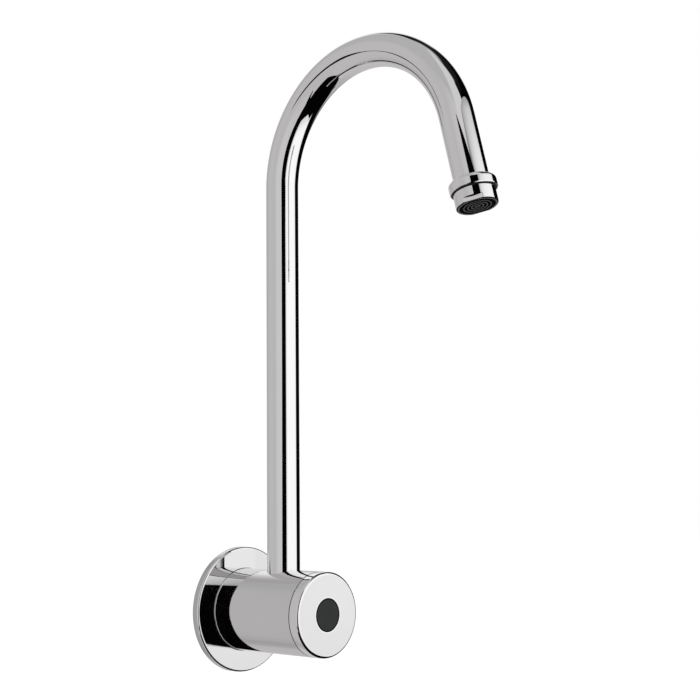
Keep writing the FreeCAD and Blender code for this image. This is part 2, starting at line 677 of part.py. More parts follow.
stop_screw = turned("spout_stop_screw", [
    ("0", STOP_START), (SHANK, STOP_START), (SHANK, SHANK_END), ("dog_diameter / 2", SHANK_END),
    ("dog_diameter / 2", DOG_TIP), ("0", DOG_TIP)], STOPPING)
cut(stop_screw, "stop_screw_socket", STOP_START, STOP_START + " + stop_key_depth",
    corners=hexagon("stop_key"))

# ---- outlet: a soldered collar, and an aerator screwed into it ----
TUBE_SEAT = "(tube_diameter / 2 + seal_gap)"
THREAD = "(tube_diameter / 2 + thread_step)"
COLLAR = "(%s + collar_wall)" % THREAD
COLLAR_START = "(leg_length - collar_overlap)"
COLLAR_END = "(%s + collar_length)" % COLLAR_START
collar = turned("outlet_collar", [
    (TUBE_SEAT, COLLAR_START), (COLLAR, COLLAR_START), (COLLAR, COLLAR_END),
    (THREAD, COLLAR_END), (THREAD, "leg_length"), (TUBE_SEAT, "leg_length")], OUTLET)
ease(collar, "collar_shoulder", "Fillet", "collar_round", [("2 * " + COLLAR, COLLAR_START)])
ease(collar, "collar_lip", "Chamfer", "body_edge", [("2 * " + COLLAR, COLLAR_END)])
NECK_TOP = "(leg_length + aerator_washer_thickness)"
NECK = "(%s - fit_gap)" % THREAD
NECK_BORE = "(%s - housing_neck)" % NECK
HOUSING = "(%s + housing_step)" % THREAD
HOUSING_START = "(%s + housing_gap)" % COLLAR_END
HOUSING_END = "(%s + housing_length)" % HOUSING_START
HOUSING_BORE = "(%s - housing_wall)" % HOUSING
INSERT_END = "(%s - insert_set_back)" % HOUSING_END
INSERT_LEDGE = "(%s - insert_length)" % INSERT_END
housing = turned("aerator_housing", [
    (NECK_BORE, NECK_TOP), (NECK, NECK_TOP), (NECK, HOUSING_START), (HOUSING, HOUSING_START),
    (HOUSING, HOUSING_END), (HOUSING_BORE, HOUSING_END), (HOUSING_BORE, INSERT_LEDGE),
    (NECK_BORE, INSERT_LEDGE)], OUTLET)
ease(housing, "housing_lip", "Chamfer", "housing_edge", [("2 * " + HOUSING, HOUSING_END)])
for side, name in (("", "near_flat"), ("-", "far_flat")):
    flat = "%s(%s - flat_cut)" % (side, HOUSING)
    beyond = "%s2 * %s" % (side, HOUSING)
    corners = [(flat, "-" + HOUSING), (beyond, "-" + HOUSING), (beyond, HOUSING), (flat, HOUSING)]
    cut(housing, name, "%s - flat_length" % HOUSING_END, HOUSING_END + " + housing_edge", corners=[
        ("(%s) * cos(flat_turn) - (%s) * sin(flat_turn)" % pair,
         "(%s) * sin(flat_turn) + (%s) * cos(flat_turn)" % pair) for pair in corners])
INSERT_RADIUS = "(%s - fit_gap)" % HOUSING_BORE
INSERT_STEM = "(%s - fit_gap)" % NECK_BORE
INSERT_FLOOR = "(%s - insert_ring_height)" % INSERT_END
REGULATOR_START = "(%s + screen_thickness)" % NECK_TOP
INSERT_START = "(%s + regulator_thickness)" % REGULATOR_START
insert_outline = [("0", INSERT_START), (INSERT_STEM, INSERT_START), (INSERT_STEM, INSERT_LEDGE),
                  (INSERT_RADIUS, INSERT_LEDGE), (INSERT_RADIUS, INSERT_END)]
ring_count = int(value(INSERT_RADIUS) / value("insert_ring_pitch"))
for number in range(ring_count):
    outside = INSERT_RADIUS + " - %d * insert_ring_pitch" % number
    inside = outside + " - insert_ring_width"
    if number:
        insert_outline += [(outside, INSERT_FLOOR), (outside, INSERT_END)]
    insert_outline += [(inside, INSERT_END), (inside, INSERT_FLOOR)]
turned("aerator_insert", insert_outline + [("0", INSERT_FLOOR)], OUTLET)
for name, start, stop in (("aerator_screen", NECK_TOP, REGULATOR_START),
                          ("flow_regulator", REGULATOR_START, INSERT_START)):
    turned(name, [("0", start), (INSERT_STEM, start), (INSERT_STEM, stop), ("0", stop)], OUTLET)
WASHER_RADIUS = "(%s - loose_gap)" % NECK
turned("aerator_washer", [
    (NECK_BORE, "leg_length"), (WASHER_RADIUS, "leg_length"), (WASHER_RADIUS, NECK_TOP),
    (NECK_BORE, NECK_TOP)], OUTLET)

# ---- inlet: a threaded nipple that carries the tap, with its seal and strainer ----
NIPPLE = "inlet_thread_diameter / 2"
NIPPLE_SHANK = "(%s - fit_gap)" % INLET_SCREW
NIPPLE_END = "(inlet_screw_depth - fit_gap)"
RUNOUT = "(inlet_thread_diameter / 2 - inlet_runout)"
FILTER_END = "(filter_length - inlet_length)"
turned("inlet_nipple", [
    ("filter_diameter / 2", "-inlet_length"), (NIPPLE, "-inlet_length"),
    (NIPPLE, "0"), (RUNOUT, "0"), (RUNOUT, "inlet_shoulder"), (NIPPLE_SHANK, "inlet_shoulder"),
    (NIPPLE_SHANK, NIPPLE_END),
    ("inlet_bore / 2", NIPPLE_END), ("inlet_bore / 2", FILTER_END),
    ("filter_diameter / 2", FILTER_END)], LEVEL)
ring("inlet_seal", "2 * %s + inlet_seal_section" % INLET_SCREW, "inlet_seal_section",
     "(inlet_shoulder + %s) / 2" % INLET_RECESS, LEVEL)
FILTER_RADIUS = "(filter_diameter / 2 - fit_gap)"
FILTER_START = "(loose_gap - inlet_length)"
turned("inlet_filter", [
    ("0", FILTER_END), (FILTER_RADIUS, FILTER_END), (FILTER_RADIUS, FILTER_START),
    (FILTER_RADIUS + " - filter_wall", FILTER_START),
    (FILTER_RADIUS + " - filter_wall", FILTER_END + " - filter_wall"),
    ("0", FILTER_END + " - filter_wall")], LEVEL)

# ---- check valve: a caged poppet that lets water in and not out ----
CAGE = "(%s - fit_gap)" % CHECK_BORE
CAGE_START = "(inlet_screw_depth + 2 * fit_gap)"
CAGE_INSIDE = "(%s - check_wall)" % CAGE
SEAT_FACE = "(%s + check_seat_thickness)" % CAGE_START
HUB_BACK = "(%s - check_hub_thickness)" % CHECK_END
STEM_HOLE = "(poppet_stem / 2 + fit_gap)"
cage = turned("check_valve_cage", [
    ("check_seat_bore / 2", CAGE_START), (CAGE, CAGE_START), (CAGE, CHECK_END),
    (STEM_HOLE, CHECK_END), (STEM_HOLE, HUB_BACK), (CAGE_INSIDE, HUB_BACK),
    (CAGE_INSIDE, SEAT_FACE), ("check_seat_bore / 2", SEAT_FACE)], LEVEL)
PORT_RING = "(%s - check_port_inset)" % CAGE_INSIDE
cut(cage, "check_ports", HUB_BACK, CHECK_END, circles=[
    ("%s * cos(%d)" % (PORT_RING, turn), "%s * sin(%d)" % (PORT_RING, turn), "check_port")
    for turn in range(30, FULL_TURN, 60)])
POPPET = "(%s - poppet_gap)" % CAGE_INSIDE
SEAL_FRONT = "(%s + check_seal_thickness)" % SEAT_FACE
POPPET_FRONT = "(%s + poppet_thickness)" % SEAL_FRONT
STEM_TIP = "(%s - check_travel - loose_gap)" % CHECK_FLOOR
turned("check_valve_poppet", [
    ("0", SEAL_FRONT), (POPPET, SEAL_FRONT), (POPPET, POPPET_FRONT),
    ("poppet_stem / 2", POPPET_FRONT), ("poppet_stem / 2", STEM_TIP), ("0", STEM_TIP)], LEVEL)
POPPET_SEAL = "(%s - loose_gap)" % POPPET
turned("check_valve_seal", [
    (POPPET_SEAL + " - check_seal_width", SEAT_FACE), (POPPET_SEAL, SEAT_FACE),
    (POPPET_SEAL, SEAL_FRONT), (POPPET_SEAL + " - check_seal_width", SEAL_FRONT)], LEVEL)
coiled("check_valve_spring", "check_spring_diameter", "check_spring_wire", "check_spring_turns",
       POPPET_FRONT, HUB_BACK, LEVEL)

# ---- diaphragm valve on the block's front face ----
VALVE_SEAT = "(seat_diameter / 2 - fit_gap)"
turned("valve_seat", [
    ("seat_bore / 2", SEAT_BACK), (VALVE_SEAT, SEAT_BACK), (VALVE_SEAT, BLOCK_FRONT),
    ("seat_bore / 2", BLOCK_FRONT)], VALVE)
turned("diaphragm_membrane", [
    ("bleed_hole / 2", BLOCK_FRONT), (MEMBRANE_RADIUS, BLOCK_FRONT),
    (MEMBRANE_RADIUS, MEMBRANE_FRONT), ("bleed_hole / 2", MEMBRANE_FRONT)], VALVE)
turned("diaphragm_plate", [
    ("bleed_hole / 2", MEMBRANE_FRONT), ("plate_diameter / 2", MEMBRANE_FRONT),
    ("plate_diameter / 2", PLATE_FRONT), ("bleed_hole / 2", PLATE_FRONT)], VALVE)
BONNET_BACK = "(%s + bonnet_rim_gap)" % BLOCK_FRONT
BONNET_ROOF = "(%s - bonnet_roof)" % BONNET_FRONT
BONNET_BORE = "(armature_diameter / 2 + loose_gap)"
MEMBRANE_RIM = "(%s + fit_gap)" % MEMBRANE_RADIUS
BONNET_CHAMBER = "(%s - bonnet_grip)" % MEMBRANE_RADIUS
bonnet = turned("valve_bonnet", [
    (BONNET_BORE, BONNET_ROOF), (BONNET_BORE, BONNET_FRONT), (BONNET_RADIUS, BONNET_FRONT),
    (BONNET_RADIUS, BONNET_BACK), (MEMBRANE_RIM, BONNET_BACK), (MEMBRANE_RIM, MEMBRANE_FRONT),
    (BONNET_CHAMBER, MEMBRANE_FRONT), (BONNET_CHAMBER, BONNET_ROOF)], VALVE)
cut(bonnet, "bonnet_holes", BONNET_BACK, BONNET_FRONT,
    circles=[place + ("bonnet_screw_diameter",) for place in BONNET_SCREWS])
screws = new_body("bonnet_screws", VALVE)
add(screws, "bonnet_screw_shanks", SCREW_TIP, BONNET_FRONT,
    circles=[place + ("bonnet_screw_diameter - 2 * fit_gap",) for place in BONNET_SCREWS])
add(screws, "bonnet_screw_heads", BONNET_FRONT, BONNET_FRONT + " + bonnet_screw_head_height",
    circles=[place + ("bonnet_screw_head",) for place in BONNET_SCREWS])

# ---- solenoid: it lifts an armature off the diaphragm's bleed hole ----
ARMATURE = "armature_diameter / 2"
ARMATURE_START = "(%s + armature_seal_length)" % PLATE_FRONT
ARMATURE_END = "(%s + armature_length)" % ARMATURE_START
SPRING_START = "(%s - core_spring_pocket_depth)" % ARMATURE_END
turned("armature", [
    ("0", ARMATURE_START), (ARMATURE, ARMATURE_START), (ARMATURE, ARMATURE_END),
    ("core_spring_pocket / 2", ARMATURE_END), ("core_spring_pocket / 2", SPRING_START),
    ("0", SPRING_START)], VALVE)
turned("armature_seal", [
    ("0", PLATE_FRONT), ("armature_seal_diameter / 2", PLATE_FRONT),
    ("armature_seal_diameter / 2", ARMATURE_START), ("0", ARMATURE_START)], VALVE)
CORE_INSIDE = "(armature_diameter / 2 + fit_gap)"
CORE_OUTSIDE = "(%s + core_wall)" % CORE_INSIDE
CORE_FACE = "(%s + armature_travel + fit_gap)" % ARMATURE_END
CORE_END = "(%s + fixed_core_length)" % CORE_FACE
turned("core_tube", [
    (CORE_INSIDE, BONNET_FRONT), ("core_flange_diameter / 2", BONNET_FRONT),
    ("core_flange_diameter / 2", CORE_FLANGE), (CORE_OUTSIDE, CORE_FLANGE),
    (CORE_OUTSIDE, CORE_END), (CORE_INSIDE, CORE_END)], VALVE)
FIXED_CORE = "(%s - seal_gap)" % CORE_INSIDE
turned("fixed_core", [
    ("0", CORE_FACE), (FIXED_CORE, CORE_FACE), (FIXED_CORE, CORE_END), ("0", CORE_END)], VALVE)
coiled("armature_spring", "core_spring_pocket - core_spring_wire - 2 * loose_gap",
       "core_spring_wire", "core_spring_turns", SPRING_START, CORE_FACE, VALVE)
COIL = "coil_diameter / 2"
COIL_BORE = "(%s + fit_gap)" % CORE_OUTSIDE
BOBBIN_HUB = "(%s + bobbin_wall)" % COIL_BORE
BOBBIN_BACK = "(%s + bobbin_flange)" % CORE_FLANGE
BOBBIN_FRONT = "(%s - bobbin_flange)" % COIL_FRONT
turned("coil_bobbin", [
    (COIL_BORE, CORE_FLANGE), (COIL, CORE_FLANGE), (COIL, BOBBIN_BACK), (BOBBIN_HUB, BOBBIN_BACK),
    (BOBBIN_HUB, BOBBIN_FRONT), (COIL, BOBBIN_FRONT), (COIL, COIL_FRONT),
    (COIL_BORE, COIL_FRONT)], VALVE)
WINDING_INSIDE = "(%s + fit_gap)" % BOBBIN_HUB
WINDING_OUTSIDE = "(coil_diameter / 2 - winding_set_back)"
WINDING_BACK = "(%s + fit_gap)" % BOBBIN_BACK
WINDING_FRONT = "(%s - fit_gap)" % BOBBIN_FRONT
turned("coil_winding", [
    (WINDING_INSIDE, WINDING_BACK), (WINDING_OUTSIDE, WINDING_BACK),
    (WINDING_OUTSIDE, WINDING_FRONT), (WINDING_INSIDE, WINDING_FRONT)], VALVE)
yoke = new_body("solenoid_yoke", VALVE)
ARM_CENTRE = "(coil_diameter / 2 + yoke_side_gap + yoke_thickness / 2)"
for side, name in (("", "right_arm"), ("-", "left_arm")):
    add(yoke, "yoke_" + name, BONNET_FRONT, COIL_FRONT,
        corners=box_corners(side + ARM_CENTRE, "0", "yoke_thickness", "yoke_width"))
add(yoke, "yoke_plate", COIL_FRONT, YOKE_FRONT, corners=box_corners(
    "0", "0", "2 * %s + yoke_thickness" % ARM_CENTRE, "yoke_width"))
cut(yoke, "yoke_hole", COIL_FRONT, YOKE_FRONT, circles=[("0", "0", "2 * " + COIL_BORE)])
turned("core_clip", [
    (COIL_BORE, YOKE_FRONT), ("clip_diameter / 2", YOKE_FRONT),
    ("clip_diameter / 2", CLIP_FRONT), (COIL_BORE, CLIP_FRONT)], VALVE)

# ---- electric eye: a dark window, and behind it the holder, the two eyes and the board ----
turned("window_seal", [
    (LEDGE_BORE, WINDOW_BACK), ("window_diameter / 2", WINDOW_BACK),
    ("window_diameter / 2", WINDOW_START), (LEDGE_BORE, WINDOW_START)], LEVEL)
turned("sensor_window", [
    ("0", WINDOW_START), ("window_diameter / 2", WINDOW_START),
    ("window_diameter / 2", WINDOW_FRONT), ("0", WINDOW_FRONT)], LEVEL)
HOLDER = "(%s - fit_gap)" % LEDGE_BORE
holder = turned("sensor_holder", [
    ("0", BOARD_FRONT), (HOLDER, BOARD_FRONT), (HOLDER, WINDOW_START), ("0", WINDOW_START)], LEVEL)
EYE_WELL = "emitter_diameter + 2 * loose_gap"
cut(holder, "eye_wells", BOARD_FRONT, WINDOW_START,
    circles=[(side + "eye_offset", "0", EYE_WELL) for side in ("", "-")])
cut(holder, "baffle_slot", BOARD_FRONT, WINDOW_START, corners=box_corners(
    "0", "0", "baffle_thickness + 2 * fit_gap", "baffle_height + 2 * fit_gap"))
baffle = new_body("light_baffle", LEVEL)
add(baffle, "baffle_plate", BOARD_FRONT, WINDOW_START,
    corners=box_corners("0", "0", "baffle_thickness", "baffle_height"))
EMITTER_TIP = "(%s - emitter_window_gap)" % WINDOW_START
emitter = turned("ir_emitter", [
    ("0", BOARD_FRONT), ("emitter_diameter / 2", BOARD_FRONT),
    ("emitter_diameter / 2", EMITTER_TIP), ("0", EMITTER_TIP)], ("90", "-eye_offset", "0", "0"))
ease(emitter, "emitter_dome", "Fillet", "emitter_diameter / 2 - loose_gap",
     [("emitter_diameter", EMITTER_TIP)])
receiver = new_body("ir_receiver", LEVEL)
add(receiver, "receiver_case", BOARD_FRONT, BOARD_FRONT + " + receiver_thickness",
    corners=box_corners("eye_offset", "0", "receiver_width", "receiver_height"))
board = turned("sensor_board", [
    ("0", BOARD_BACK), (BOARD_RADIUS, BOARD_BACK), (BOARD_RADIUS, BOARD_FRONT),
    ("0", BOARD_FRONT)], LEVEL)
cut(board, "board_holes", BOARD_BACK, BOARD_FRONT,
    circles=[place + ("board_screw_diameter + 2 * fit_gap",) for place in BOARD_SCREWS])
board_screws = new_body("board_screws", LEVEL)
add(board_screws, "board_screw_shanks", BOARD_BACK, SCREW_END,
    circles=[place + ("board_screw_diameter - 2 * fit_gap",) for place in BOARD_SCREWS])
add(board_screws, "board_screw_heads", BOARD_BACK + " - board_screw_head_height", BOARD_BACK,
    circles=[place + ("board_screw_head",) for place in BOARD_SCREWS])
chip = new_body("control_chip", LEVEL)
add(chip, "chip_case", BOARD_BACK + " - chip_thickness", BOARD_BACK,
    corners=box_corners("0", "chip_height", "chip_width", "chip_width"))

# ---- leads: from the supply socket to the board, and from the coil to the board ----
SOCKET_START = "(%s - supply_socket_length)" % BLOCK_BACK
MOUTH_FLOOR = "(%s + supply_mouth_depth)" % SOCKET_START
NOSE = "(supply_passage / 2 - fit_gap)"
NOSE_END = "(%s + supply_nose_length)" % BLOCK_BACK
turned("supply_socket", [
    ("0", MOUTH_FLOOR), ("supply_mouth / 2", MOUTH_FLOOR), ("supply_mouth / 2", SOCKET_START),
    ("supply_socket_diameter / 2", SOCKET_START), ("supply_socket_diameter / 2", BLOCK_BACK),
    (NOSE, BLOCK_BACK), (NOSE, NOSE_END), ("0", NOSE_END)], SUPPLY)
CONNECTOR_BACK = "(%s - connector_height)" % BOARD_BACK
SUPPLY_CONNECTOR = "(%s - supply_connector_inset)" % SPIGOT_INSIDE
VALVE_CONNECTOR = "-(%s - valve_connector_inset)" % SPIGOT_INSIDE
for name, across, up in (("supply_connector", SUPPLY_CONNECTOR, "supply_height"),
                         ("valve_connector", VALVE_CONNECTOR, "valve_connector_height")):
    connector = new_body(name, LEVEL)
    add(connector, name + "_case", CONNECTOR_BACK, BOARD_BACK,
        corners=box_corners(across, up, "connector_width", "connector_length"))
lead("supply_lead", [
    (SUPPLY_ACROSS, "supply_height", NOSE_END),
    (SUPPLY_ACROSS, "supply_height", BLOCK_FRONT + " + supply_lead_rise"),
    (SUPPLY_CONNECTOR, "supply_height", SPIGOT_START),
    (SUPPLY_CONNECTOR, "supply_height", CONNECTOR_BACK)])
VALVE_LEAD_ENTRY = "(%s + connector_height / 2)" % CONNECTOR_BACK
lead("valve_lead", [
    ("valve_lead_across", "valve_height + " + WINDING_OUTSIDE, COIL_FRONT + " - valve_lead_set_back"),
    ("valve_lead_across", "valve_connector_height", VALVE_LEAD_ENTRY),
    (VALVE_CONNECTOR + " + connector_width / 2", "valve_connector_height", VALVE_LEAD_ENTRY)])

# ---- every object sound, then one file to each node ----
doc.recompute()
for item in doc.Objects:
    if "Invalid" in item.State or "Error" in item.State:
        raise RuntimeError("failed: " + item.Name)
os.makedirs("parts", exist_ok=True)
for name, node in nodes.items():
    if node.Shape.isNull() or not node.Shape.isValid() or not node.Shape.Solids:
        raise RuntimeError("unsound solid: " + name)
    node.Shape.exportStep("parts/%s.step" % name)
    print("%-22s %d solids, %9.1f mm3" % (name, len(node.Shape.Solids), node.Shape.Volume))
print("%d nodes" % len(nodes))
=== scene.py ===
import json
import math

import bmesh
import bpy
from mathutils import Matrix, Vector


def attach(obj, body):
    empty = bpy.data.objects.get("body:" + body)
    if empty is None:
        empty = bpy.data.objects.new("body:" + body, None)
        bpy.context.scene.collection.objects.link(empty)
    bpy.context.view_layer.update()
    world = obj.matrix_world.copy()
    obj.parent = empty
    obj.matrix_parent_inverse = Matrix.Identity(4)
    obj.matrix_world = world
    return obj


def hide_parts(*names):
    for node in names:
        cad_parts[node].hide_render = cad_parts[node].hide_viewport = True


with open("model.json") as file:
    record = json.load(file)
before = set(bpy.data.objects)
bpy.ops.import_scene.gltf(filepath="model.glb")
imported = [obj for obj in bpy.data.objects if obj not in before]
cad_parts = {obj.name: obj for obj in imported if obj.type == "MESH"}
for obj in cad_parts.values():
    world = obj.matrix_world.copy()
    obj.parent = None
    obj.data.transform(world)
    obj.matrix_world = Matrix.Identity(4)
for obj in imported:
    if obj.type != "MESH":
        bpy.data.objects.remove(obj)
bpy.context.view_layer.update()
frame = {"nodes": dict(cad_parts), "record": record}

# ---- wall flange ----
# A thin round cover plate that hides the hole in the wall. It is pressed from brass sheet, turned
# over at the rim, polished and chrome plated, and it slides along the body up to the wall.
MM = 0.001
TURN_STEPS = 240
CREASE = math.radians(22)
# In millimetres: points within WELD become one, and NEAR and HAIR pick out points and faces.
WELD, NEAR, HAIR = 1e-4, 1e-3, 0.01
# A face looks straight along the axis when this much of its normal does.
STRAIGHT = 0.999
# Lays a shape's own axis level, from the wall to the front.
LEVEL = Matrix.Rotation(math.radians(90), 4, "X")


def ring_edges(shape, radius, along):
    """The edges of a turned shape that lie on one circle round its axis."""
    def on_circle(vertex):
        return (abs(vertex.co.xy.length - radius) < NEAR
                and abs(vertex.co.z - along) < NEAR)
    return [edge for edge in shape.edges if all(map(on_circle, edge.verts))]


def round_over(shape, radius, along, width, steps=4):
    """Rounds one circular edge of a turned shape."""
    bmesh.ops.bevel(shape, geom=ring_edges(shape, radius, along), offset=width,
                    offset_type="OFFSET", affect="EDGES", segments=steps, profile=0.5,
                    material=-1)


def turn_outline(outline, closed=True, steps=TURN_STEPS):
    """A shape turned on its own Z axis from (radius, along) points in millimetres."""
    shape = bmesh.new()
    corners = [shape.verts.new((radius, 0, along)) for radius, along in outline]
    pairs = list(zip(corners, corners[1:] + (corners[:1] if closed else [])))
    lines = [shape.edges.new(pair) for pair in pairs]
    bmesh.ops.spin(shape, geom=corners + lines, cent=(0, 0, 0), axis=(0, 0, 1),
                   dvec=(0, 0, 0), angle=math.tau, steps=steps, use_merge=True)
    bmesh.ops.remove_doubles(shape, verts=shape.verts, dist=WELD)
    bmesh.ops.recalc_face_normals(shape, faces=shape.faces)
    return shape


def finished(name, shape, seat, finishes, body, *nodes, crease=CREASE, slot=None):
    """Puts a shape in its seat as a named piece that rides on a body and stands for CAD nodes."""
    shape.transform(Matrix.Scale(MM, 4) @ seat)
    mesh = bpy.data.meshes.new(name)
    shape.to_mesh(mesh)
    shape.free()
    mesh.shade_smooth()
    mesh.set_sharp_from_angle(angle=crease)
    for finish in finishes:
        mesh.materials.append(finish)
    piece = bpy.data.objects.new(name, mesh)
    bpy.context.scene.collection.objects.link(piece)
    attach(piece, body)
    if nodes:
        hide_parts(*nodes)


def wire(tree, source, target):
    """Leads one node's output to another's input."""
    tree.links.new(source, target)


def add_node(tree, kind, **settings):
    """A new node; each setting is a property of its own or the value of an input."""
    node = tree.nodes.new(kind)
    for name, setting in settings.items():
        if hasattr(node, name):
            setattr(node, name, setting)
        else:
            node.inputs[name.replace("_", " ")].default_value = setting
    return node


def shader_of(material):
    """The Principled shader of a finish."""
    return material.node_tree.nodes["Principled BSDF"]


def new_finish(name, colour, roughness, metallic=0.0, **constants):
    """A Principled material with its plain values on the shader's own sockets."""
    material = bpy.data.materials.new(name)
    material.use_nodes = True
    material.diffuse_color = (*colour, 1)
    shader = shader_of(material)
    shader.inputs["Base Color"].default_value = (*colour, 1)
    shader.inputs["Roughness"].default_value = roughness
    shader.inputs["Metallic"].default_value = metallic
    for socket, setting in constants.items():
        shader.inputs[socket.replace("_", " ")].default_value = setting
    return material


def new_effect(name, inputs, outputs):
    """An empty shader group with named inputs and outputs."""
    group = bpy.data.node_groups.new(name, "ShaderNodeTree")
    for label, setting in inputs.items():
        kind = "NodeSocketVector" if isinstance(setting, tuple) else "NodeSocketFloat"
        socket = group.interface.new_socket(label, in_out="INPUT", socket_type=kind)
        socket.default_value = setting
    for label, kind in outputs.items():
        group.interface.new_socket(label, in_out="OUTPUT", socket_type=kind)
    return group, group.nodes.new("NodeGroupInput"), group.nodes.new("NodeGroupOutput")


def add_effect(tree, group, **settings):
    """Places an effect in a node tree, with its own values."""
    node = tree.nodes.new("ShaderNodeGroup")
    node.node_tree = group
    for name, setting in settings.items():
        node.inputs[name.replace("_", " ")].default_value = setting
    return node


# Fine unevenness of a finish: a value that wanders between two levels, and a height for a bump.
UNEVENNESS, given, result = new_effect(
    "unevenness", {"Place": (0.0, 0.0, 0.0), "Grains per metre": 100.0, "Low": 0.0, "High": 1.0},
    {"Value": "NodeSocketFloat", "Height": "NodeSocketFloat"})
noise = add_node(UNEVENNESS, "ShaderNodeTexNoise", Detail=4.0, Roughness=0.55)
spread = add_node(UNEVENNESS, "ShaderNodeMapRange", From_Min=0.3, From_Max=0.7)
wire(UNEVENNESS, given.outputs["Place"], noise.inputs["Vector"])
wire(UNEVENNESS, given.outputs["Grains per metre"], noise.inputs["Scale"])
wire(UNEVENNESS, noise.outputs["Fac"], spread.inputs["Value"])
wire(UNEVENNESS, given.outputs["Low"], spread.inputs["To Min"])
wire(UNEVENNESS, given.outputs["High"], spread.inputs["To Max"])
wire(UNEVENNESS, spread.outputs["Result"], result.inputs["Value"])
wire(UNEVENNESS, noise.outputs["Fac"], result.inputs["Height"])


def add_unevenness(tree, grains, **levels):
    """The unevenness on a piece's own coordinates, with its grains per metre."""
    place = add_node(tree, "ShaderNodeTexCoord")
    effect = add_effect(tree, UNEVENNESS, Grains_per_metre=grains, **levels)
    wire(tree, place.outputs["Object"], effect.inputs["Place"])
    return effect


def roughen(material, low, high, grains):
    """Lets the roughness wander between two values."""
    tree = material.node_tree
    effect = add_unevenness(tree, grains, Low=low, High=high)
    wire(tree, effect.outputs["Value"], shader_of(material).inputs["Roughness"])


# The places of a Mix node's colour sockets: at factor 0, at factor 1, and the result.
MIX_FROM, MIX_TO, MIX_RESULT = 6, 7, 2


def mottle(material, dark, light, grains):
    """Lets the colour wander between two shades."""
    tree = material.node_tree
    effect = add_unevenness(tree, grains)
    shades = add_node(tree, "ShaderNodeMix", data_type="RGBA")
    shades.inputs[MIX_FROM].default_value = (*dark, 1)
    shades.inputs[MIX_TO].default_value = (*light, 1)
    wire(tree, effect.outputs["Value"], shades.inputs["Factor"])
    wire(tree, shades.outputs[MIX_RESULT], shader_of(material).inputs["Base Color"])


def add_relief(material, height, depth):
    """Bumps the surface by a height from 0 to 1, over a depth in metres."""
    tree = material.node_tree
    bump = add_node(tree, "ShaderNodeBump", Strength=1.0, Distance=depth)
    wire(tree, height, bump.inputs["Height"])
    wire(tree, bump.outputs["Normal"], shader_of(material).inputs["Normal"])


def dimple(material, depth, grains):
    """Gives the surface a fine uneven relief."""
    add_relief(material, add_unevenness(material.node_tree, grains).outputs["Height"], depth)


PLATE_TINT, WIPED_TINT = (1.0, 0.994, 0.996), (1.0, 0.995, 1.0)
WIPE_GRAINS, POLISH_GRAINS = 22.0, 35.0
SMOOTHEST, DULLEST = 0.6, 1.7


def new_chrome(name, tone, wiped, roughness):
    """A plated finish: nearly neutral, with faint wiped patches that are a little duller."""
    plate = [tone * share for share in PLATE_TINT]
    patch = [wiped * share for share in WIPED_TINT]
    finish = new_finish(name, plate, roughness, metallic=1.0)
    mottle(finish, patch, plate, WIPE_GRAINS)
    roughen(finish, roughness * SMOOTHEST, roughness * DULLEST, POLISH_GRAINS)
    return finish


chrome = new_chrome("polished_chrome", 0.905, 0.885, 0.016)
# Darker copies of the chrome: the slightly rougher lapped one darkens flat front faces with painted
# shade, the rim one darkens the flange's side with painted shade.
lapped_chrome_painted_shade = new_chrome("lapped_chrome_painted_shade", 0.765, 0.745, 0.03)
rim_chrome_painted_shade = new_chrome("rim_chrome_painted_shade", 0.64, 0.62, 0.06)

FLANGE_RADIUS, FLANGE_DEPTH, FLANGE_WALL = 42.0, 5.6, 1.6
FLANGE_EDGE, FLANGE_BEND, FLANGE_BACK_EDGE, FLANGE_LIP = 1.3, 0.5, 0.25, 0.5
BODY_RADIUS, FLANGE_FIT = 27.5, 0.05
FLANGE_BORE = BODY_RADIUS + FLANGE_FIT
RIM_SKIN = 0.05
# A flat face keeps its flat shine up to a rounded edge by a ring of points this far before it.
KEEP = 0.12
flange = turn_outline([
    (FLANGE_BORE, FLANGE_DEPTH - FLANGE_WALL),
    (FLANGE_RADIUS - FLANGE_WALL, FLANGE_DEPTH - FLANGE_WALL),
    (FLANGE_RADIUS - FLANGE_WALL, 0), (FLANGE_RADIUS, 0),
    (FLANGE_RADIUS, FLANGE_DEPTH - FLANGE_EDGE - KEEP), (FLANGE_RADIUS, FLANGE_DEPTH),
    (FLANGE_RADIUS - FLANGE_EDGE - KEEP, FLANGE_DEPTH),
    (FLANGE_BORE + FLANGE_LIP + KEEP, FLANGE_DEPTH), (FLANGE_BORE, FLANGE_DEPTH)])
round_over(flange, FLANGE_RADIUS, FLANGE_DEPTH, FLANGE_EDGE, steps=6)
round_over(flange, FLANGE_RADIUS - FLANGE_WALL, FLANGE_DEPTH - FLANGE_WALL, FLANGE_BEND)
round_over(flange, FLANGE_RADIUS, 0, FLANGE_BACK_EDGE, steps=3)
round_over(flange, FLANGE_BORE, FLANGE_DEPTH, FLANGE_LIP, steps=5)
# Flat front faces get the lapped chrome with painted shade, below the bright rounded edge; the
# rim's outer side gets the darker painted shade chrome.
for face in flange.faces:
    middle = face.calc_center_median()
    face.material_index = int(face.normal.z > STRAIGHT)
    if middle.xy.length > FLANGE_RADIUS - RIM_SKIN and middle.z < FLANGE_DEPTH - FLANGE_EDGE + HAIR:
        face.material_index = 2
finished("flange_plate", flange, LEVEL, [chrome, lapped_chrome_painted_shade, rim_chrome_painted_shade], "tap_body",
         "wall_flange", slot="polished_chrome")

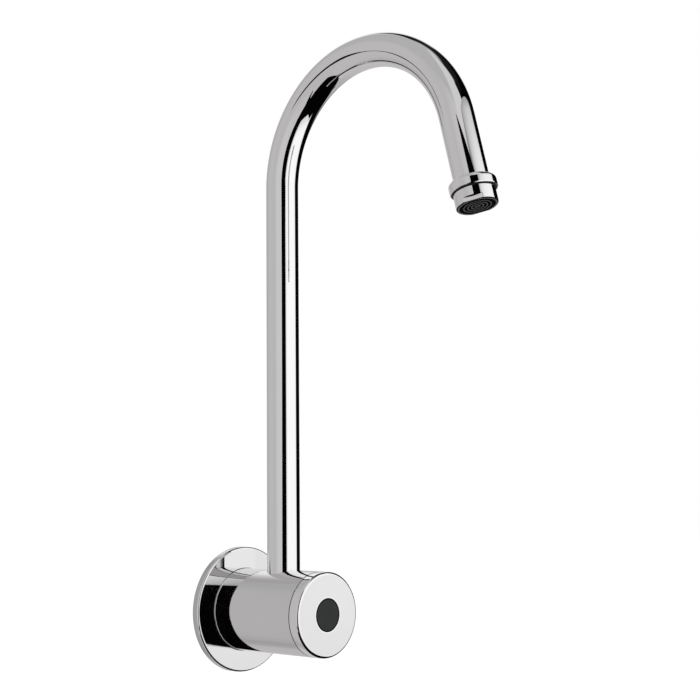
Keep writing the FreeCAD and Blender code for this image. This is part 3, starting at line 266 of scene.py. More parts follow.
# ---- body ----
# A level round casting with a solid block in its middle and an open cavity behind it. The outside
# is ground, polished and chrome plated; inside, the brass keeps its blasted casting skin.
BODY_DEPTH, BODY_WALL, BODY_EDGE = 76.3, 4.0, 0.3
BLOCK_BACK, BLOCK_FRONT, BOSS_RADIUS, BOSS_DEPTH = 30.0, 57.5, 17.0, 0.6
RECESS_RADIUS, RECESS_DEPTH, INLET_RADIUS, INLET_DEPTH = 11.2, 3.1, 9.0, 14.0
TUBE_DEPTH, SOCKET_RADIUS, SOCKET_FLOOR = 43.5, 11.05, 5.0
LOCK_DEPTH, LOCK_RADIUS = 70.2, 1.55
AROUND, LENGTHWISE, HOLE_RINGS = 288, 64, 7
SOCKET_PATCH, LOCK_PATCH = (16.5, 14.4), (2.5, 2.5)
INSIDE = BODY_RADIUS - BODY_WALL
BODY_WELD, BODY_SKIN = 2e-3, 0.1


def rolled(across):
    """The angle round the body, from its top, at a distance across the sheet."""
    return across / BODY_RADIUS


def open_hole(sheet, across, along, radius, patch_size):
    """Opens a hole in the flat sheet, in a patch of its squares, that is round once rolled up."""
    half_width, half_length = patch_size
    patch = [face for face in sheet.faces
             if abs(face.calc_center_median().x - across) < half_width
             and abs(face.calc_center_median().y - along) < half_length]
    rim = {edge for face in patch for edge in face.edges}
    rim = [edge for edge in rim if sum(face in patch for face in edge.link_faces) == 1]
    bmesh.ops.delete(sheet, geom=patch, context="FACES")
    hole = bmesh.ops.create_circle(sheet, cap_ends=False, radius=radius,
                                   segments=len(rim))["verts"]
    for vertex in hole:
        vertex.co.x = BODY_RADIUS * math.asin(vertex.co.x / BODY_RADIUS)
    bmesh.ops.translate(sheet, verts=hole, vec=(across, along, 0))
    edges = {edge for vertex in hole for edge in vertex.link_edges}
    bridge = bmesh.ops.bridge_loops(sheet, edges=rim + list(edges))
    spokes = {edge for face in bridge["faces"] for edge in face.edges} - edges - set(rim)
    bmesh.ops.subdivide_edges(sheet, edges=list(spokes), cuts=HOLE_RINGS, use_grid_fill=True)
    return [edge for edge in sheet.edges if edge.is_boundary and all(
        abs(math.hypot(BODY_RADIUS * math.sin(rolled(corner.co.x - across)),
                       corner.co.y - along) - radius) < HAIR for corner in edge.verts)]


body_chrome = new_chrome("buffed_chrome", 0.80, 0.78, 0.04)
# Painted shade: a near-black finish where shade falls between the chrome pieces, in the body-cap
# seam, collar thread and housing neck.
painted_gap_shade = new_finish("painted_shade_in_gaps", (0.012, 0.012, 0.012), 0.6)
mottle(painted_gap_shade, (0.008, 0.008, 0.008), (0.018, 0.018, 0.018), 400.0)
raw_brass = new_finish("cast_brass_skin", (0.52, 0.40, 0.21), 0.5, metallic=1.0)
mottle(raw_brass, (0.42, 0.31, 0.16), (0.60, 0.47, 0.25), 180.0)
dimple(raw_brass, 0.00012, 1500.0)

# The outside is a flat sheet of squares that gets its holes and is then rolled up, with its seam
# at one side. The inside and the front edge are turned and joined to it.
sheet = bmesh.new()
bmesh.ops.create_grid(sheet, x_segments=AROUND, y_segments=LENGTHWISE, size=0.5)
GIRTH = math.tau * BODY_RADIUS
bmesh.ops.scale(sheet, vec=(GIRTH, BODY_DEPTH, 1), verts=sheet.verts)
bmesh.ops.translate(sheet, vec=(GIRTH / 4, BODY_DEPTH / 2, 0), verts=sheet.verts)
socket_rim = open_hole(sheet, 0, TUBE_DEPTH, SOCKET_RADIUS, SOCKET_PATCH)
lock_rim = open_hole(sheet, GIRTH / 2, LOCK_DEPTH, LOCK_RADIUS, LOCK_PATCH)
for vertex in sheet.verts:
    turn = rolled(vertex.co.x)
    vertex.co = (-BODY_RADIUS * math.sin(turn), BODY_RADIUS * math.cos(turn), vertex.co.y)
for rim, floor in ((socket_rim, SOCKET_FLOOR), (lock_rim, -INSIDE)):
    wall = bmesh.ops.extrude_edge_only(sheet, edges=rim)["geom"]
    for vertex in wall:
        if isinstance(vertex, bmesh.types.BMVert):
            vertex.co.y = floor
    bmesh.ops.edgeloop_fill(sheet, edges=[
        edge for edge in wall if isinstance(edge, bmesh.types.BMEdge) and edge.is_boundary])
inside = turn_outline([
    (BODY_RADIUS, 0), (INSIDE, 0), (INSIDE, BLOCK_BACK), (BOSS_RADIUS, BLOCK_BACK),
    (BOSS_RADIUS, BOSS_DEPTH), (RECESS_RADIUS, BOSS_DEPTH), (RECESS_RADIUS, RECESS_DEPTH),
    (INLET_RADIUS, RECESS_DEPTH), (INLET_RADIUS, INLET_DEPTH), (0, INLET_DEPTH)],
    closed=False, steps=AROUND)
front = turn_outline([(0, BLOCK_FRONT), (INSIDE, BLOCK_FRONT), (INSIDE, BODY_DEPTH),
                      (BODY_RADIUS, BODY_DEPTH)], closed=False, steps=AROUND)
for part in (inside, front):
    scrap = bpy.data.meshes.new("scrap")
    part.to_mesh(scrap)
    part.free()
    sheet.from_mesh(scrap)
    bpy.data.meshes.remove(scrap)
bmesh.ops.remove_doubles(sheet, verts=sheet.verts, dist=BODY_WELD)
bmesh.ops.recalc_face_normals(sheet, faces=sheet.faces)
for face in sheet.faces:
    middle = face.calc_center_median()
    face.material_index = int(middle.xy.length < BODY_RADIUS - BODY_SKIN)
    # The front end face, at the bottom of the seam to the cap, gets the painted shade.
    if middle.z > BODY_DEPTH - HAIR:
        face.material_index = 2
round_over(sheet, BODY_RADIUS, BODY_DEPTH, BODY_EDGE, steps=3)
finished("body_casting", sheet, LEVEL, [body_chrome, raw_brass, painted_gap_shade], "tap_body",
         "body_shell", slot="polished_chrome")

# ---- front cap ----
# A turned cover with a spigot that fits into the body's mouth. Its flat face is polished and
# chrome plated, and a bevelled bore in the middle carries the electric eye's window.
CAP_BACK, CAP_DEPTH, CAP_INSIDE, CAP_EDGE, POLISHED_LAND = 76.65, 84.3, 81.3, 1.9, 0.75
SPIGOT_START, SPIGOT_RADIUS, SPIGOT_INSIDE = 68.0, 23.45, 20.85
WINDOW_BORE, LEDGE_BORE, WINDOW_BACK, WINDOW_EDGE = 10.75, 9.2, 82.0, 0.12
GROOVE_START, GROOVE_END, GROOVE_FLOOR = 71.8, 74.0, 22.2
CAP_SKIN = 0.3
cap = turn_outline([
    (LEDGE_BORE, CAP_INSIDE), (LEDGE_BORE, WINDOW_BACK), (WINDOW_BORE, WINDOW_BACK),
    (WINDOW_BORE, CAP_DEPTH), (WINDOW_BORE + POLISHED_LAND, CAP_DEPTH),
    (BODY_RADIUS - CAP_EDGE - KEEP, CAP_DEPTH), (BODY_RADIUS, CAP_DEPTH),
    (BODY_RADIUS, CAP_DEPTH - CAP_EDGE - KEEP), (BODY_RADIUS, CAP_BACK), (SPIGOT_RADIUS, CAP_BACK),
    (SPIGOT_RADIUS, GROOVE_END), (GROOVE_FLOOR, GROOVE_END), (GROOVE_FLOOR, GROOVE_START),
    (SPIGOT_RADIUS, GROOVE_START), (SPIGOT_RADIUS, SPIGOT_START),
    (SPIGOT_INSIDE, SPIGOT_START), (SPIGOT_INSIDE, CAP_INSIDE)])
round_over(cap, BODY_RADIUS, CAP_DEPTH, CAP_EDGE, steps=14)
round_over(cap, BODY_RADIUS, CAP_BACK, BODY_EDGE, steps=3)
round_over(cap, WINDOW_BORE, CAP_DEPTH, WINDOW_EDGE, steps=3)
# The flat face outside the land gets the lapped chrome, painted shade beside the bright land and
# edge; spigot, groove and back face get the gap's painted shade.
for face in cap.faces:
    middle = face.calc_center_median()
    if face.normal.z > STRAIGHT and middle.xy.length > WINDOW_BORE + POLISHED_LAND:
        face.material_index = 1
    elif middle.xy.length < BODY_RADIUS - CAP_SKIN and middle.z < CAP_INSIDE:
        face.material_index = 2
finished("cap_cover", cap, LEVEL, [chrome, lapped_chrome_painted_shade, painted_gap_shade], "tap_body", "front_cap",
         slot="polished_chrome")

# ---- electric eye's window ----
# A disc of smoked plastic, polished flat, that looks black and lets infrared light through. It
# is pressed into the cap's bore from the front and sits just below the face.
WINDOW_RADIUS, WINDOW_START, WINDOW_FRONT, WINDOW_RING = 10.7, 82.3, 84.25, 0.9
window_finish = new_finish("smoked_window", (0.008, 0.010, 0.010), 0.18, IOR=1.33)
roughen(window_finish, 0.12, 0.26, 900.0)
mottle(window_finish, (0.006, 0.008, 0.008), (0.010, 0.012, 0.011), 300.0)
window = turn_outline([
    (0, WINDOW_START), (WINDOW_RADIUS - WINDOW_RING, WINDOW_START),
    (WINDOW_RADIUS - WINDOW_RING, WINDOW_FRONT), (0, WINDOW_FRONT)], closed=False)
finished("eye_window", window, LEVEL, [window_finish], "tap_body", "sensor_window",
         slot="dark_window")

# ---- window's ring ----
# A narrow black ring round the window, in the edge of the bore: painted shade for the dark band
# that the rim of the bore shows there.
RING_EDGE = 0.25
window_edge_painted_shade = new_finish("window_edge_painted_shade", (0.004, 0.004, 0.004), 0.7, IOR=1.2)
mottle(window_edge_painted_shade, (0.003, 0.003, 0.003), (0.007, 0.007, 0.007), 500.0)
ring = turn_outline([
    (WINDOW_RADIUS - WINDOW_RING, WINDOW_START), (WINDOW_RADIUS, WINDOW_START),
    (WINDOW_RADIUS, WINDOW_FRONT), (WINDOW_RADIUS - WINDOW_RING, WINDOW_FRONT)])
round_over(ring, WINDOW_RADIUS, WINDOW_FRONT, RING_EDGE, steps=3)
finished("window_ring", ring, LEVEL, [window_edge_painted_shade], "tap_body", slot="seal_rubber")

# ---- spout ----
# One length of drawn brass tube, bent on a former to a swan neck, ground, polished and plated.
# Its foot stands in the body's socket, and its open end carries the outlet's collar.
TUBE_RADIUS, TUBE_WALL, ARCH_HEIGHT, ARCH_RADIUS = 11.0, 1.2, 286.0, 78.0
BEND, LEG, FOOT_TOP = 166.0, 45.0, 24.5
TUBE_SIDES, RISER_STEPS, ARCH_STEPS, LEG_STEPS = 144, 40, 166, 12


def carry_on(shape, faces, way, steps):
    """Extrudes a tube's end along a straight way, in equal steps."""
    for _ in range(steps):
        grown = bmesh.ops.extrude_face_region(shape, geom=faces)["geom"]
        bmesh.ops.delete(shape, geom=faces, context="FACES_ONLY")
        faces = [item for item in grown if isinstance(item, bmesh.types.BMFace)]
        moved = [item for item in grown if isinstance(item, bmesh.types.BMVert)]
        bmesh.ops.translate(shape, verts=moved, vec=way / steps)
    return faces


tube = bmesh.new()
for radius in (TUBE_RADIUS, TUBE_RADIUS - TUBE_WALL):
    bmesh.ops.create_circle(tube, cap_ends=False, radius=radius, segments=TUBE_SIDES,
                            matrix=Matrix.Translation((0, -TUBE_DEPTH, FOOT_TOP)))
bmesh.ops.bridge_loops(tube, edges=tube.edges)
end = list(tube.faces)
arch_centre = Vector((0, -TUBE_DEPTH - ARCH_RADIUS, ARCH_HEIGHT))
leg_way = Matrix.Rotation(math.radians(BEND), 3, "X") @ Vector((0, 0, 1))
# A copy of the foot's ring of faces stays behind and closes the tube's wall there.
for face in end:
    face.copy()
end = carry_on(tube, end, Vector((0, 0, ARCH_HEIGHT - FOOT_TOP)), RISER_STEPS)
end = bmesh.ops.spin(tube, geom=end, cent=arch_centre, axis=(1, 0, 0), dvec=(0, 0, 0),
                     angle=math.radians(BEND), steps=ARCH_STEPS)["geom_last"]
end = [item for item in end if isinstance(item, bmesh.types.BMFace)]
end = carry_on(tube, end, leg_way * LEG, LEG_STEPS)
bmesh.ops.remove_doubles(tube, verts=tube.verts, dist=NEAR)
bmesh.ops.recalc_face_normals(tube, faces=tube.faces)
finished("swan_neck", tube, Matrix.Identity(4), [chrome], "spout", "spout_tube",
         slot="polished_chrome")

# ---- outlet collar ----
# A turned brass sleeve with a rounded shoulder, soldered over the end of the spout and plated
# with it. Its inside is threaded for the aerator.
COLLAR_RADIUS, COLLAR_START, COLLAR_END = 14.75, 42.8, 49.8
COLLAR_ROUND, COLLAR_EDGE, COLLAR_RIM = 2.4, 0.55, 0.6
COLLAR_BORE, THREAD_RADIUS = TUBE_RADIUS + 0.02, 12.0
# The outlet's own axis starts where the arch ends and points down the leg.
OUTLET = (Matrix.Translation(arch_centre) @ Matrix.Rotation(math.radians(BEND), 4, "X")
          @ Matrix.Translation((0, ARCH_RADIUS, 0)))
collar = turn_outline([
    (COLLAR_BORE, COLLAR_START), (COLLAR_RADIUS, COLLAR_START),
    (COLLAR_RADIUS, COLLAR_START + COLLAR_ROUND + KEEP),
    (COLLAR_RADIUS, COLLAR_END - COLLAR_EDGE - KEEP), (COLLAR_RADIUS, COLLAR_END),
    (THREAD_RADIUS, COLLAR_END), (THREAD_RADIUS, LEG), (COLLAR_BORE, LEG)])
round_over(collar, COLLAR_RADIUS, COLLAR_START, COLLAR_ROUND, steps=10)
round_over(collar, COLLAR_RADIUS, COLLAR_END, COLLAR_EDGE, steps=5)
# The threaded bore and the end face inside the chrome rim get the painted shade of the gap.
for face in collar.faces:
    middle = face.calc_center_median()
    face.material_index = int(middle.z > LEG and middle.xy.length < COLLAR_RADIUS - COLLAR_RIM)
finished("collar_sleeve", collar, OUTLET, [chrome, painted_gap_shade], "spout", "outlet_collar",
         slot="polished_chrome")

# ---- aerator housing ----
# A turned and plated brass ring that screws into the collar. Two flats for a spanner are milled
# into its lower end, one facing the user, and the rest of it stays round.
HOUSING_RADIUS, HOUSING_START, HOUSING_END, HOUSING_BORE = 13.0, 50.4, 59.1, 11.15
NECK_RADIUS, NECK_TOP, NECK_BORE, INSERT_LEDGE = 11.95, 46.6, 10.35, 53.1
FLAT_START, FLAT_REACH, FLAT_TURN, FLAT_CREASE = 56.2, 11.5, math.radians(153), math.radians(15)
HOUSING_EDGE, HOUSING_LIP, HOUSING_SHADE = 0.2, 0.12, 11.0
housing = turn_outline([
    (NECK_BORE, NECK_TOP), (NECK_RADIUS, NECK_TOP), (NECK_RADIUS, HOUSING_START),
    (HOUSING_RADIUS, HOUSING_START), (HOUSING_RADIUS, FLAT_START),
    (HOUSING_RADIUS, FLAT_START + HAIR), (HOUSING_RADIUS, HOUSING_END - HOUSING_LIP),
    (HOUSING_RADIUS - HOUSING_LIP, HOUSING_END), (HOUSING_BORE, HOUSING_END),
    (HOUSING_BORE, INSERT_LEDGE), (NECK_BORE, INSERT_LEDGE)], steps=360)


def mill_flats(shape, reach, start):
    """Presses what stands out past the spanner flats back to them, from a height down."""
    way = Vector((math.cos(FLAT_TURN), math.sin(FLAT_TURN), 0))
    for vertex in shape.verts:
        across = vertex.co.dot(way)
        if vertex.co.z > start + HAIR / 2 and abs(across) > reach:
            vertex.co -= way * math.copysign(abs(across) - reach, across)
    bmesh.ops.remove_doubles(shape, verts=shape.verts, dist=WELD)


mill_flats(housing, FLAT_REACH, FLAT_START)
round_over(housing, HOUSING_RADIUS, HOUSING_START, HOUSING_EDGE, steps=2)
# The neck, the top face under the collar and the bore inside HOUSING_SHADE get the painted shade of
# the gap.
for face in housing.faces:
    middle = face.calc_center_median()
    face.material_index = int(middle.z < HOUSING_START + HAIR or middle.xy.length < HOUSING_SHADE)
finished("aerator_ring", housing, OUTLET, [chrome, painted_gap_shade], "spout", "aerator_housing",
         slot="polished_chrome", crease=FLAT_CREASE)

# ---- aerator insert ----
# The moulded black core of the aerator. Round ribs and spokes at its mouth break the water into
# a soft stream, and a flat brim lies against the end of the housing.
RIB_PITCH, RIB_WIDTH, RIB_HEIGHT = 2.4, 0.55, 1.0
SPOKES, SPOKE_WIDTH, SPOKE_DROP = 24, 0.45, 0.25
INSERT_RADIUS, INSERT_START, INSERT_END, INSERT_STEP, INSERT_FIT = 11.1, 49.8, 59.6, 0.8, 0.05
BRIM_RADIUS, BRIM_START, BRIM_WIDTH, BRIM_EDGE = 12.75, HOUSING_END + 0.03, 1.5, 0.2
BRIM_FLAT_FIT, BRIM_FLAT_START = 0.1, BRIM_START - 0.02
# Only the rib tops and the brim inside this radius keep the moulded black; the rest gets painted
# shade.
UNSHADED_RADIUS = 12.15
insert_finish = new_finish("moulded_black", (0.028, 0.029, 0.029), 0.25, IOR=1.6)
roughen(insert_finish, 0.16, 0.34, 800.0)
dimple(insert_finish, 0.00002, 2500.0)
mottle(insert_finish, (0.022, 0.023, 0.023), (0.036, 0.037, 0.037), 150.0)
# Painted shade: a near-black finish for the valleys between the ribs, the spokes and the outer
# brim.
painted_valley_shade = new_finish("painted_shade_black", (0.003, 0.003, 0.003), 0.6, IOR=1.2)
mottle(painted_valley_shade, (0.002, 0.002, 0.002), (0.005, 0.005, 0.005), 150.0)
floor_level = INSERT_END - RIB_HEIGHT
neck, brim_inside = INSERT_RADIUS - INSERT_STEP, BRIM_RADIUS - BRIM_WIDTH
outline = [(0, INSERT_START), (neck, INSERT_START), (neck, INSERT_LEDGE + INSERT_FIT),
           (INSERT_RADIUS, INSERT_LEDGE + INSERT_FIT), (INSERT_RADIUS, BRIM_START),
           (BRIM_RADIUS, BRIM_START), (BRIM_RADIUS, INSERT_END - BRIM_EDGE),
           (BRIM_RADIUS - BRIM_EDGE, INSERT_END), (UNSHADED_RADIUS, INSERT_END),
           (brim_inside, INSERT_END), (brim_inside, floor_level)]
rib = INSERT_RADIUS - RIB_PITCH
while rib > RIB_PITCH / 2:
    outline += [(rib, floor_level), (rib, INSERT_END), (rib - RIB_WIDTH, INSERT_END),
                (rib - RIB_WIDTH, floor_level)]
    rib -= RIB_PITCH
insert = turn_outline(outline + [(0, floor_level)], closed=False, steps=120)
mill_flats(insert, FLAT_REACH - BRIM_FLAT_FIT, BRIM_FLAT_START)
for face in insert.faces:
    middle = face.calc_center_median()
    face.material_index = int(middle.z < INSERT_END - HAIR or middle.xy.length > UNSHADED_RADIUS)
spoke_length, spoke_middle = INSERT_RADIUS * 0.8, INSERT_RADIUS * 0.55
for number in range(SPOKES):
    spoke = bmesh.ops.create_cube(insert, size=1)["verts"]
    bmesh.ops.scale(insert, vec=(spoke_length, SPOKE_WIDTH, RIB_HEIGHT), verts=spoke)
    bmesh.ops.translate(insert, verts=spoke,
                        vec=(spoke_middle, 0, floor_level + RIB_HEIGHT / 2 - SPOKE_DROP))
    bmesh.ops.rotate(insert, verts=spoke, cent=(0, 0, 0),
                     matrix=Matrix.Rotation(math.tau * number / SPOKES, 3, "Z"))
    # The spokes stand below the rib tops and get the painted shade.
    for face in {face for vertex in spoke for face in vertex.link_faces}:
        face.material_index = 1
finished("aerator_core", insert, OUTLET, [insert_finish, painted_valley_shade], "spout", "aerator_insert",
         slot="black_plastic")

# ---- inlet nipple ----
# A turned brass nipple that screws into the body's boss and, with its half-inch thread, into the
# pipe fitting in the wall. The brass is left bare.
NIPPLE_RADIUS, NIPPLE_START, NIPPLE_END, NIPPLE_BORE = 10.48, -15.99, 13.95, 8.0
SHOULDER_RADIUS, SHOULDER_END, SHANK_RADIUS = NIPPLE_RADIUS - 0.2, 1.2, 8.95
THROAT_RADIUS, THROAT_START = 6.5, -10
THREAD_PITCH, THREAD_DEPTH, THREAD_START, THREAD_LENGTH = 1.814, 1.16, -15.7, 13.8
brass = new_finish("turned_brass", (0.72, 0.56, 0.30), 0.28, metallic=1.0)
mottle(brass, (0.64, 0.48, 0.24), (0.77, 0.61, 0.34), 90.0)
roughen(brass, 0.2, 0.38, 220.0)
root = NIPPLE_RADIUS - THREAD_DEPTH
nipple = turn_outline([
    (NIPPLE_BORE, NIPPLE_START), (root, NIPPLE_START), (root, 0), (SHOULDER_RADIUS, 0),
    (SHOULDER_RADIUS, SHOULDER_END), (SHANK_RADIUS, SHOULDER_END), (SHANK_RADIUS, NIPPLE_END),
    (THROAT_RADIUS, NIPPLE_END), (THROAT_RADIUS, THROAT_START), (NIPPLE_BORE, THROAT_START)],
    steps=120)
# The thread is one ridge, its foot sunk a little into the root, that winds up in whole turns.
RIDGE_FOOT, RIDGE_HEIGHT, STEPS_PER_TURN = 0.1, THREAD_DEPTH + 0.05, 72
RIDGE_RISE, RIDGE_FALL, RIDGE_END = 0.4, 0.55, 0.95
ridge = [nipple.verts.new((root - RIDGE_FOOT + across, 0, THREAD_START + THREAD_PITCH * share))
         for across, share in ((0, 0), (RIDGE_HEIGHT, RIDGE_RISE), (RIDGE_HEIGHT, RIDGE_FALL),
                               (0, RIDGE_END))]
section = nipple.faces.new(ridge)
thread_turns = int(THREAD_LENGTH / THREAD_PITCH)
bmesh.ops.spin(nipple, geom=[section], cent=(0, 0, 0), axis=(0, 0, 1),
               dvec=(0, 0, THREAD_PITCH / STEPS_PER_TURN), angle=math.tau * thread_turns,
               steps=STEPS_PER_TURN * thread_turns)
finished("threaded_nipple", nipple, LEVEL, [brass], "tap_body", "inlet_nipple",
         slot="plain_brass")

# ---- carried-over nodes ----
# The pieces inside the tap and at its back keep the shapes that the frame gives them: seals,
# springs, screws, valve and solenoid pieces, the circuit board and its parts, and the leads.
NODE_SLOTS = {row["node"]: row["material_slot"] for row in frame["record"]["subparts"]}


def dress(finish, slot):
    """Gives a finish to every shown CAD node of one of the record's slots."""
    for name, node in frame["nodes"].items():
        if NODE_SLOTS[name] == slot and not node.hide_render:
            node.data.materials.clear()
            node.data.materials.append(finish)


steel = new_finish("plain_steel", (0.60, 0.60, 0.61), 0.3, metallic=1.0)
mottle(steel, (0.52, 0.52, 0.53), (0.66, 0.66, 0.67), 120.0)
roughen(steel, 0.22, 0.42, 300.0)
rubber = new_finish("seal_rubber", (0.03, 0.03, 0.03), 0.6)
mottle(rubber, (0.02, 0.02, 0.02), (0.05, 0.05, 0.05), 200.0)
dimple(rubber, 0.00003, 2500.0)
foam = new_finish("closed_cell_foam", (0.12, 0.12, 0.12), 0.9)
mottle(foam, (0.07, 0.07, 0.07), (0.17, 0.17, 0.17), 700.0)
dimple(foam, 0.00025, 1400.0)
black_plastic = new_finish("matt_black_plastic", (0.02, 0.02, 0.02), 0.5)
mottle(black_plastic, (0.015, 0.015, 0.015), (0.03, 0.03, 0.03), 150.0)
dimple(black_plastic, 0.00002, 3000.0)
pale_plastic = new_finish("natural_plastic", (0.78, 0.78, 0.74), 0.4, IOR=1.48)
mottle(pale_plastic, (0.72, 0.72, 0.67), (0.82, 0.82, 0.79), 80.0)
roughen(pale_plastic, 0.32, 0.5, 400.0)
lens = new_finish("clear_resin", (0.35, 0.40, 0.55), 0.1, IOR=1.55, Coat_Weight=0.5)
mottle(lens, (0.30, 0.36, 0.52), (0.42, 0.46, 0.60), 250.0)
sheath = new_finish("lead_sheath", (0.35, 0.03, 0.03), 0.45)
mottle(sheath, (0.28, 0.02, 0.02), (0.40, 0.05, 0.04), 300.0)
roughen(sheath, 0.35, 0.55, 600.0)
board = new_finish("circuit_board", (0.03, 0.20, 0.08), 0.35, Coat_Weight=0.3)
mottle(board, (0.015, 0.12, 0.05), (0.05, 0.27, 0.12), 450.0)

# The coil's copper lies in fine turns: a wave texture's bands are WAVE_BAND apart at scale 1.
WIRE_PITCH, WIRE_RELIEF, WAVE_BAND = 0.00025, 0.0001, 0.314
winding = new_finish("enamelled_copper", (0.55, 0.24, 0.09), 0.3, metallic=0.7)
mottle(winding, (0.45, 0.18, 0.06), (0.63, 0.30, 0.12), 120.0)
tree = winding.node_tree
place = add_node(tree, "ShaderNodeTexCoord")
coil = add_node(tree, "ShaderNodeTexWave", bands_direction="Y", Scale=WAVE_BAND / WIRE_PITCH)
wire(tree, place.outputs["Object"], coil.inputs["Vector"])
add_relief(winding, coil.outputs["Fac"], WIRE_RELIEF)

# The strainer's wires cross in a square weave, light where one stands out, with painted shade
# between.
MESH_PITCH, MESH_RELIEF = 0.0006, 0.0002
mesh_finish = new_finish("woven_mesh", (0.55, 0.55, 0.56), 0.35, metallic=1.0)
tree = mesh_finish.node_tree
place = add_node(tree, "ShaderNodeTexCoord")
split = add_node(tree, "ShaderNodeSeparateXYZ")
wire(tree, place.outputs["Object"], split.inputs["Vector"])
weave = add_node(tree, "ShaderNodeMath", operation="MAXIMUM")
for index, axis in enumerate("XZ"):
    angle = add_node(tree, "ShaderNodeMath", operation="MULTIPLY")
    angle.inputs[1].default_value = math.tau / MESH_PITCH
    swing = add_node(tree, "ShaderNodeMath", operation="SINE")
    wire(tree, split.outputs[axis], angle.inputs[0])
    wire(tree, angle.outputs["Value"], swing.inputs[0])
    wire(tree, swing.outputs["Value"], weave.inputs[index])
shade = add_node(tree, "ShaderNodeMapRange", From_Min=-0.4, From_Max=0.6)
tone = add_node(tree, "ShaderNodeMix", data_type="RGBA")
tone.inputs[MIX_FROM].default_value = (0.06, 0.06, 0.06, 1)
tone.inputs[MIX_TO].default_value = (0.62, 0.62, 0.63, 1)
wire(tree, weave.outputs["Value"], shade.inputs["Value"])
wire(tree, shade.outputs["Result"], tone.inputs["Factor"])
wire(tree, tone.outputs[MIX_RESULT], shader_of(mesh_finish).inputs["Base Color"])
add_relief(mesh_finish, weave.outputs["Value"], MESH_RELIEF)

for finish, slot in (
        (chrome, "polished_chrome"), (brass, "plain_brass"), (steel, "plain_steel"),
        (mesh_finish, "steel_mesh"), (rubber, "seal_rubber"), (foam, "foam_rubber"),
        (black_plastic, "black_plastic"), (pale_plastic, "pale_plastic"),
        (window_finish, "dark_window"), (lens, "clear_lens"), (board, "circuit_board"),
        (winding, "copper_winding"), (sheath, "lead_sheath")):
    dress(finish, slot)

# ---- floor and studio ----
# A plain pale floor well below the tap, and a soft white studio round it. Only the polished metal
# sees the studio's grey walls, with their lighter and darker patches.
FLOOR_DROP, FLOOR_SIZE, FLOOR_TONE, FLOOR_GLOW = 0.55, 30.0, 0.92, 0.14
floor_finish = new_finish("pale_floor", (FLOOR_TONE,) * 3, 0.9, Emission_Strength=FLOOR_GLOW)
shader_of(floor_finish).inputs["Emission Color"].default_value = (1, 1, 1, 1)
mottle(floor_finish, (0.91,) * 3, (0.93,) * 3, 3.0)
ground = bmesh.new()
bmesh.ops.create_grid(ground, x_segments=1, y_segments=1, size=FLOOR_SIZE / 2)
bmesh.ops.translate(ground, vec=(0, 0, -FLOOR_DROP), verts=ground.verts)
ground_mesh = bpy.data.meshes.new("floor")
ground.to_mesh(ground_mesh)
ground.free()
ground_mesh.materials.append(floor_finish)
floor = bpy.data.objects.new("floor", ground_mesh)
floor.visible_glossy = False
bpy.context.scene.collection.objects.link(floor)


def multiplied(tree, values):
    """The product of several nodes' values."""
    product = values[0]
    for value in values[1:]:
        both = add_node(tree, "ShaderNodeMath", operation="MULTIPLY")
        wire(tree, product, both.inputs[0])
        wire(tree, value, both.inputs[1])
        product = both.outputs["Value"]
    return product


# One soft-edged card of the studio: 1 inside its bounds of azimuth and elevation, in degrees.
CARD, given, result = new_effect(
    "studio_card", {"Azimuth": 0.0, "Elevation": 0.0, "Left": 0.0, "Right": 0.0, "Bottom": 0.0,
                    "Top": 0.0, "Softness": 1.0}, {"Mask": "NodeSocketFloat"})
sides = []
for angle, low, high in (("Azimuth", "Left", "Right"), ("Elevation", "Bottom", "Top")):
    for beyond, bound in ((angle, low), (high, angle)):
        past = add_node(CARD, "ShaderNodeMath", operation="SUBTRACT")
        wire(CARD, given.outputs[beyond], past.inputs[0])
        wire(CARD, given.outputs[bound], past.inputs[1])
        share = add_node(CARD, "ShaderNodeMath", operation="DIVIDE")
        wire(CARD, past.outputs["Value"], share.inputs[0])
        wire(CARD, given.outputs["Softness"], share.inputs[1])
        edge = add_node(CARD, "ShaderNodeMapRange", interpolation_type="SMOOTHSTEP",
                        From_Min=-0.5, From_Max=0.5)
        wire(CARD, share.outputs["Value"], edge.inputs["Value"])
        sides.append(edge.outputs["Result"])
wire(CARD, multiplied(CARD, sides), result.inputs["Mask"])

# A ray's azimuth, 0 straight to the front and growing to the right, and its elevation.
world = bpy.data.worlds.new("studio")
bpy.context.scene.world = world
world.use_nodes = True
sky = world.node_tree
sky.nodes.clear()
place = add_node(sky, "ShaderNodeTexCoord")
split = add_node(sky, "ShaderNodeSeparateXYZ")
wire(sky, place.outputs["Generated"], split.inputs["Vector"])
towards_front = add_node(sky, "ShaderNodeMath", operation="MULTIPLY")
towards_front.inputs[1].default_value = -1
wire(sky, split.outputs["Y"], towards_front.inputs[0])
bearing = add_node(sky, "ShaderNodeMath", operation="ARCTAN2")
wire(sky, split.outputs["X"], bearing.inputs[0])
wire(sky, towards_front.outputs["Value"], bearing.inputs[1])
lift = add_node(sky, "ShaderNodeMath", operation="ARCSINE")
wire(sky, split.outputs["Z"], lift.inputs[0])
angles = []
for radians in (bearing, lift):
    degrees = add_node(sky, "ShaderNodeMath", operation="DEGREES")
    wire(sky, radians.outputs["Value"], degrees.inputs[0])
    angles.append(degrees.outputs["Value"])

# The grey walls: their tone round the tap, from behind on one side to behind on the other.
WALL_TONES = ((-180, 0.42), (-170, 0.48), (-158, 0.52), (-130, 0.53), (-108, 0.51), (-70, 0.57),
              (-30, 0.62), (60, 0.6), (112, 0.46), (135, 0.54), (160, 0.56), (172, 0.44),
              (180, 0.42))
WARMTH = (1.015, 0.99, 0.995)
turn = add_node(sky, "ShaderNodeMapRange", From_Min=-180, From_Max=180)
wire(sky, angles[0], turn.inputs["Value"])
walls = add_node(sky, "ShaderNodeValToRGB")
walls.color_ramp.interpolation = "EASE"
points = walls.color_ramp.elements
while len(points) < len(WALL_TONES):
    points.new(0.5)
for point, (azimuth, tone) in zip(points, WALL_TONES):
    point.position = (azimuth + 180) / 360
    point.color = (*(tone * share for share in WARMTH), 1)
wire(sky, turn.outputs["Result"], walls.inputs["Fac"])

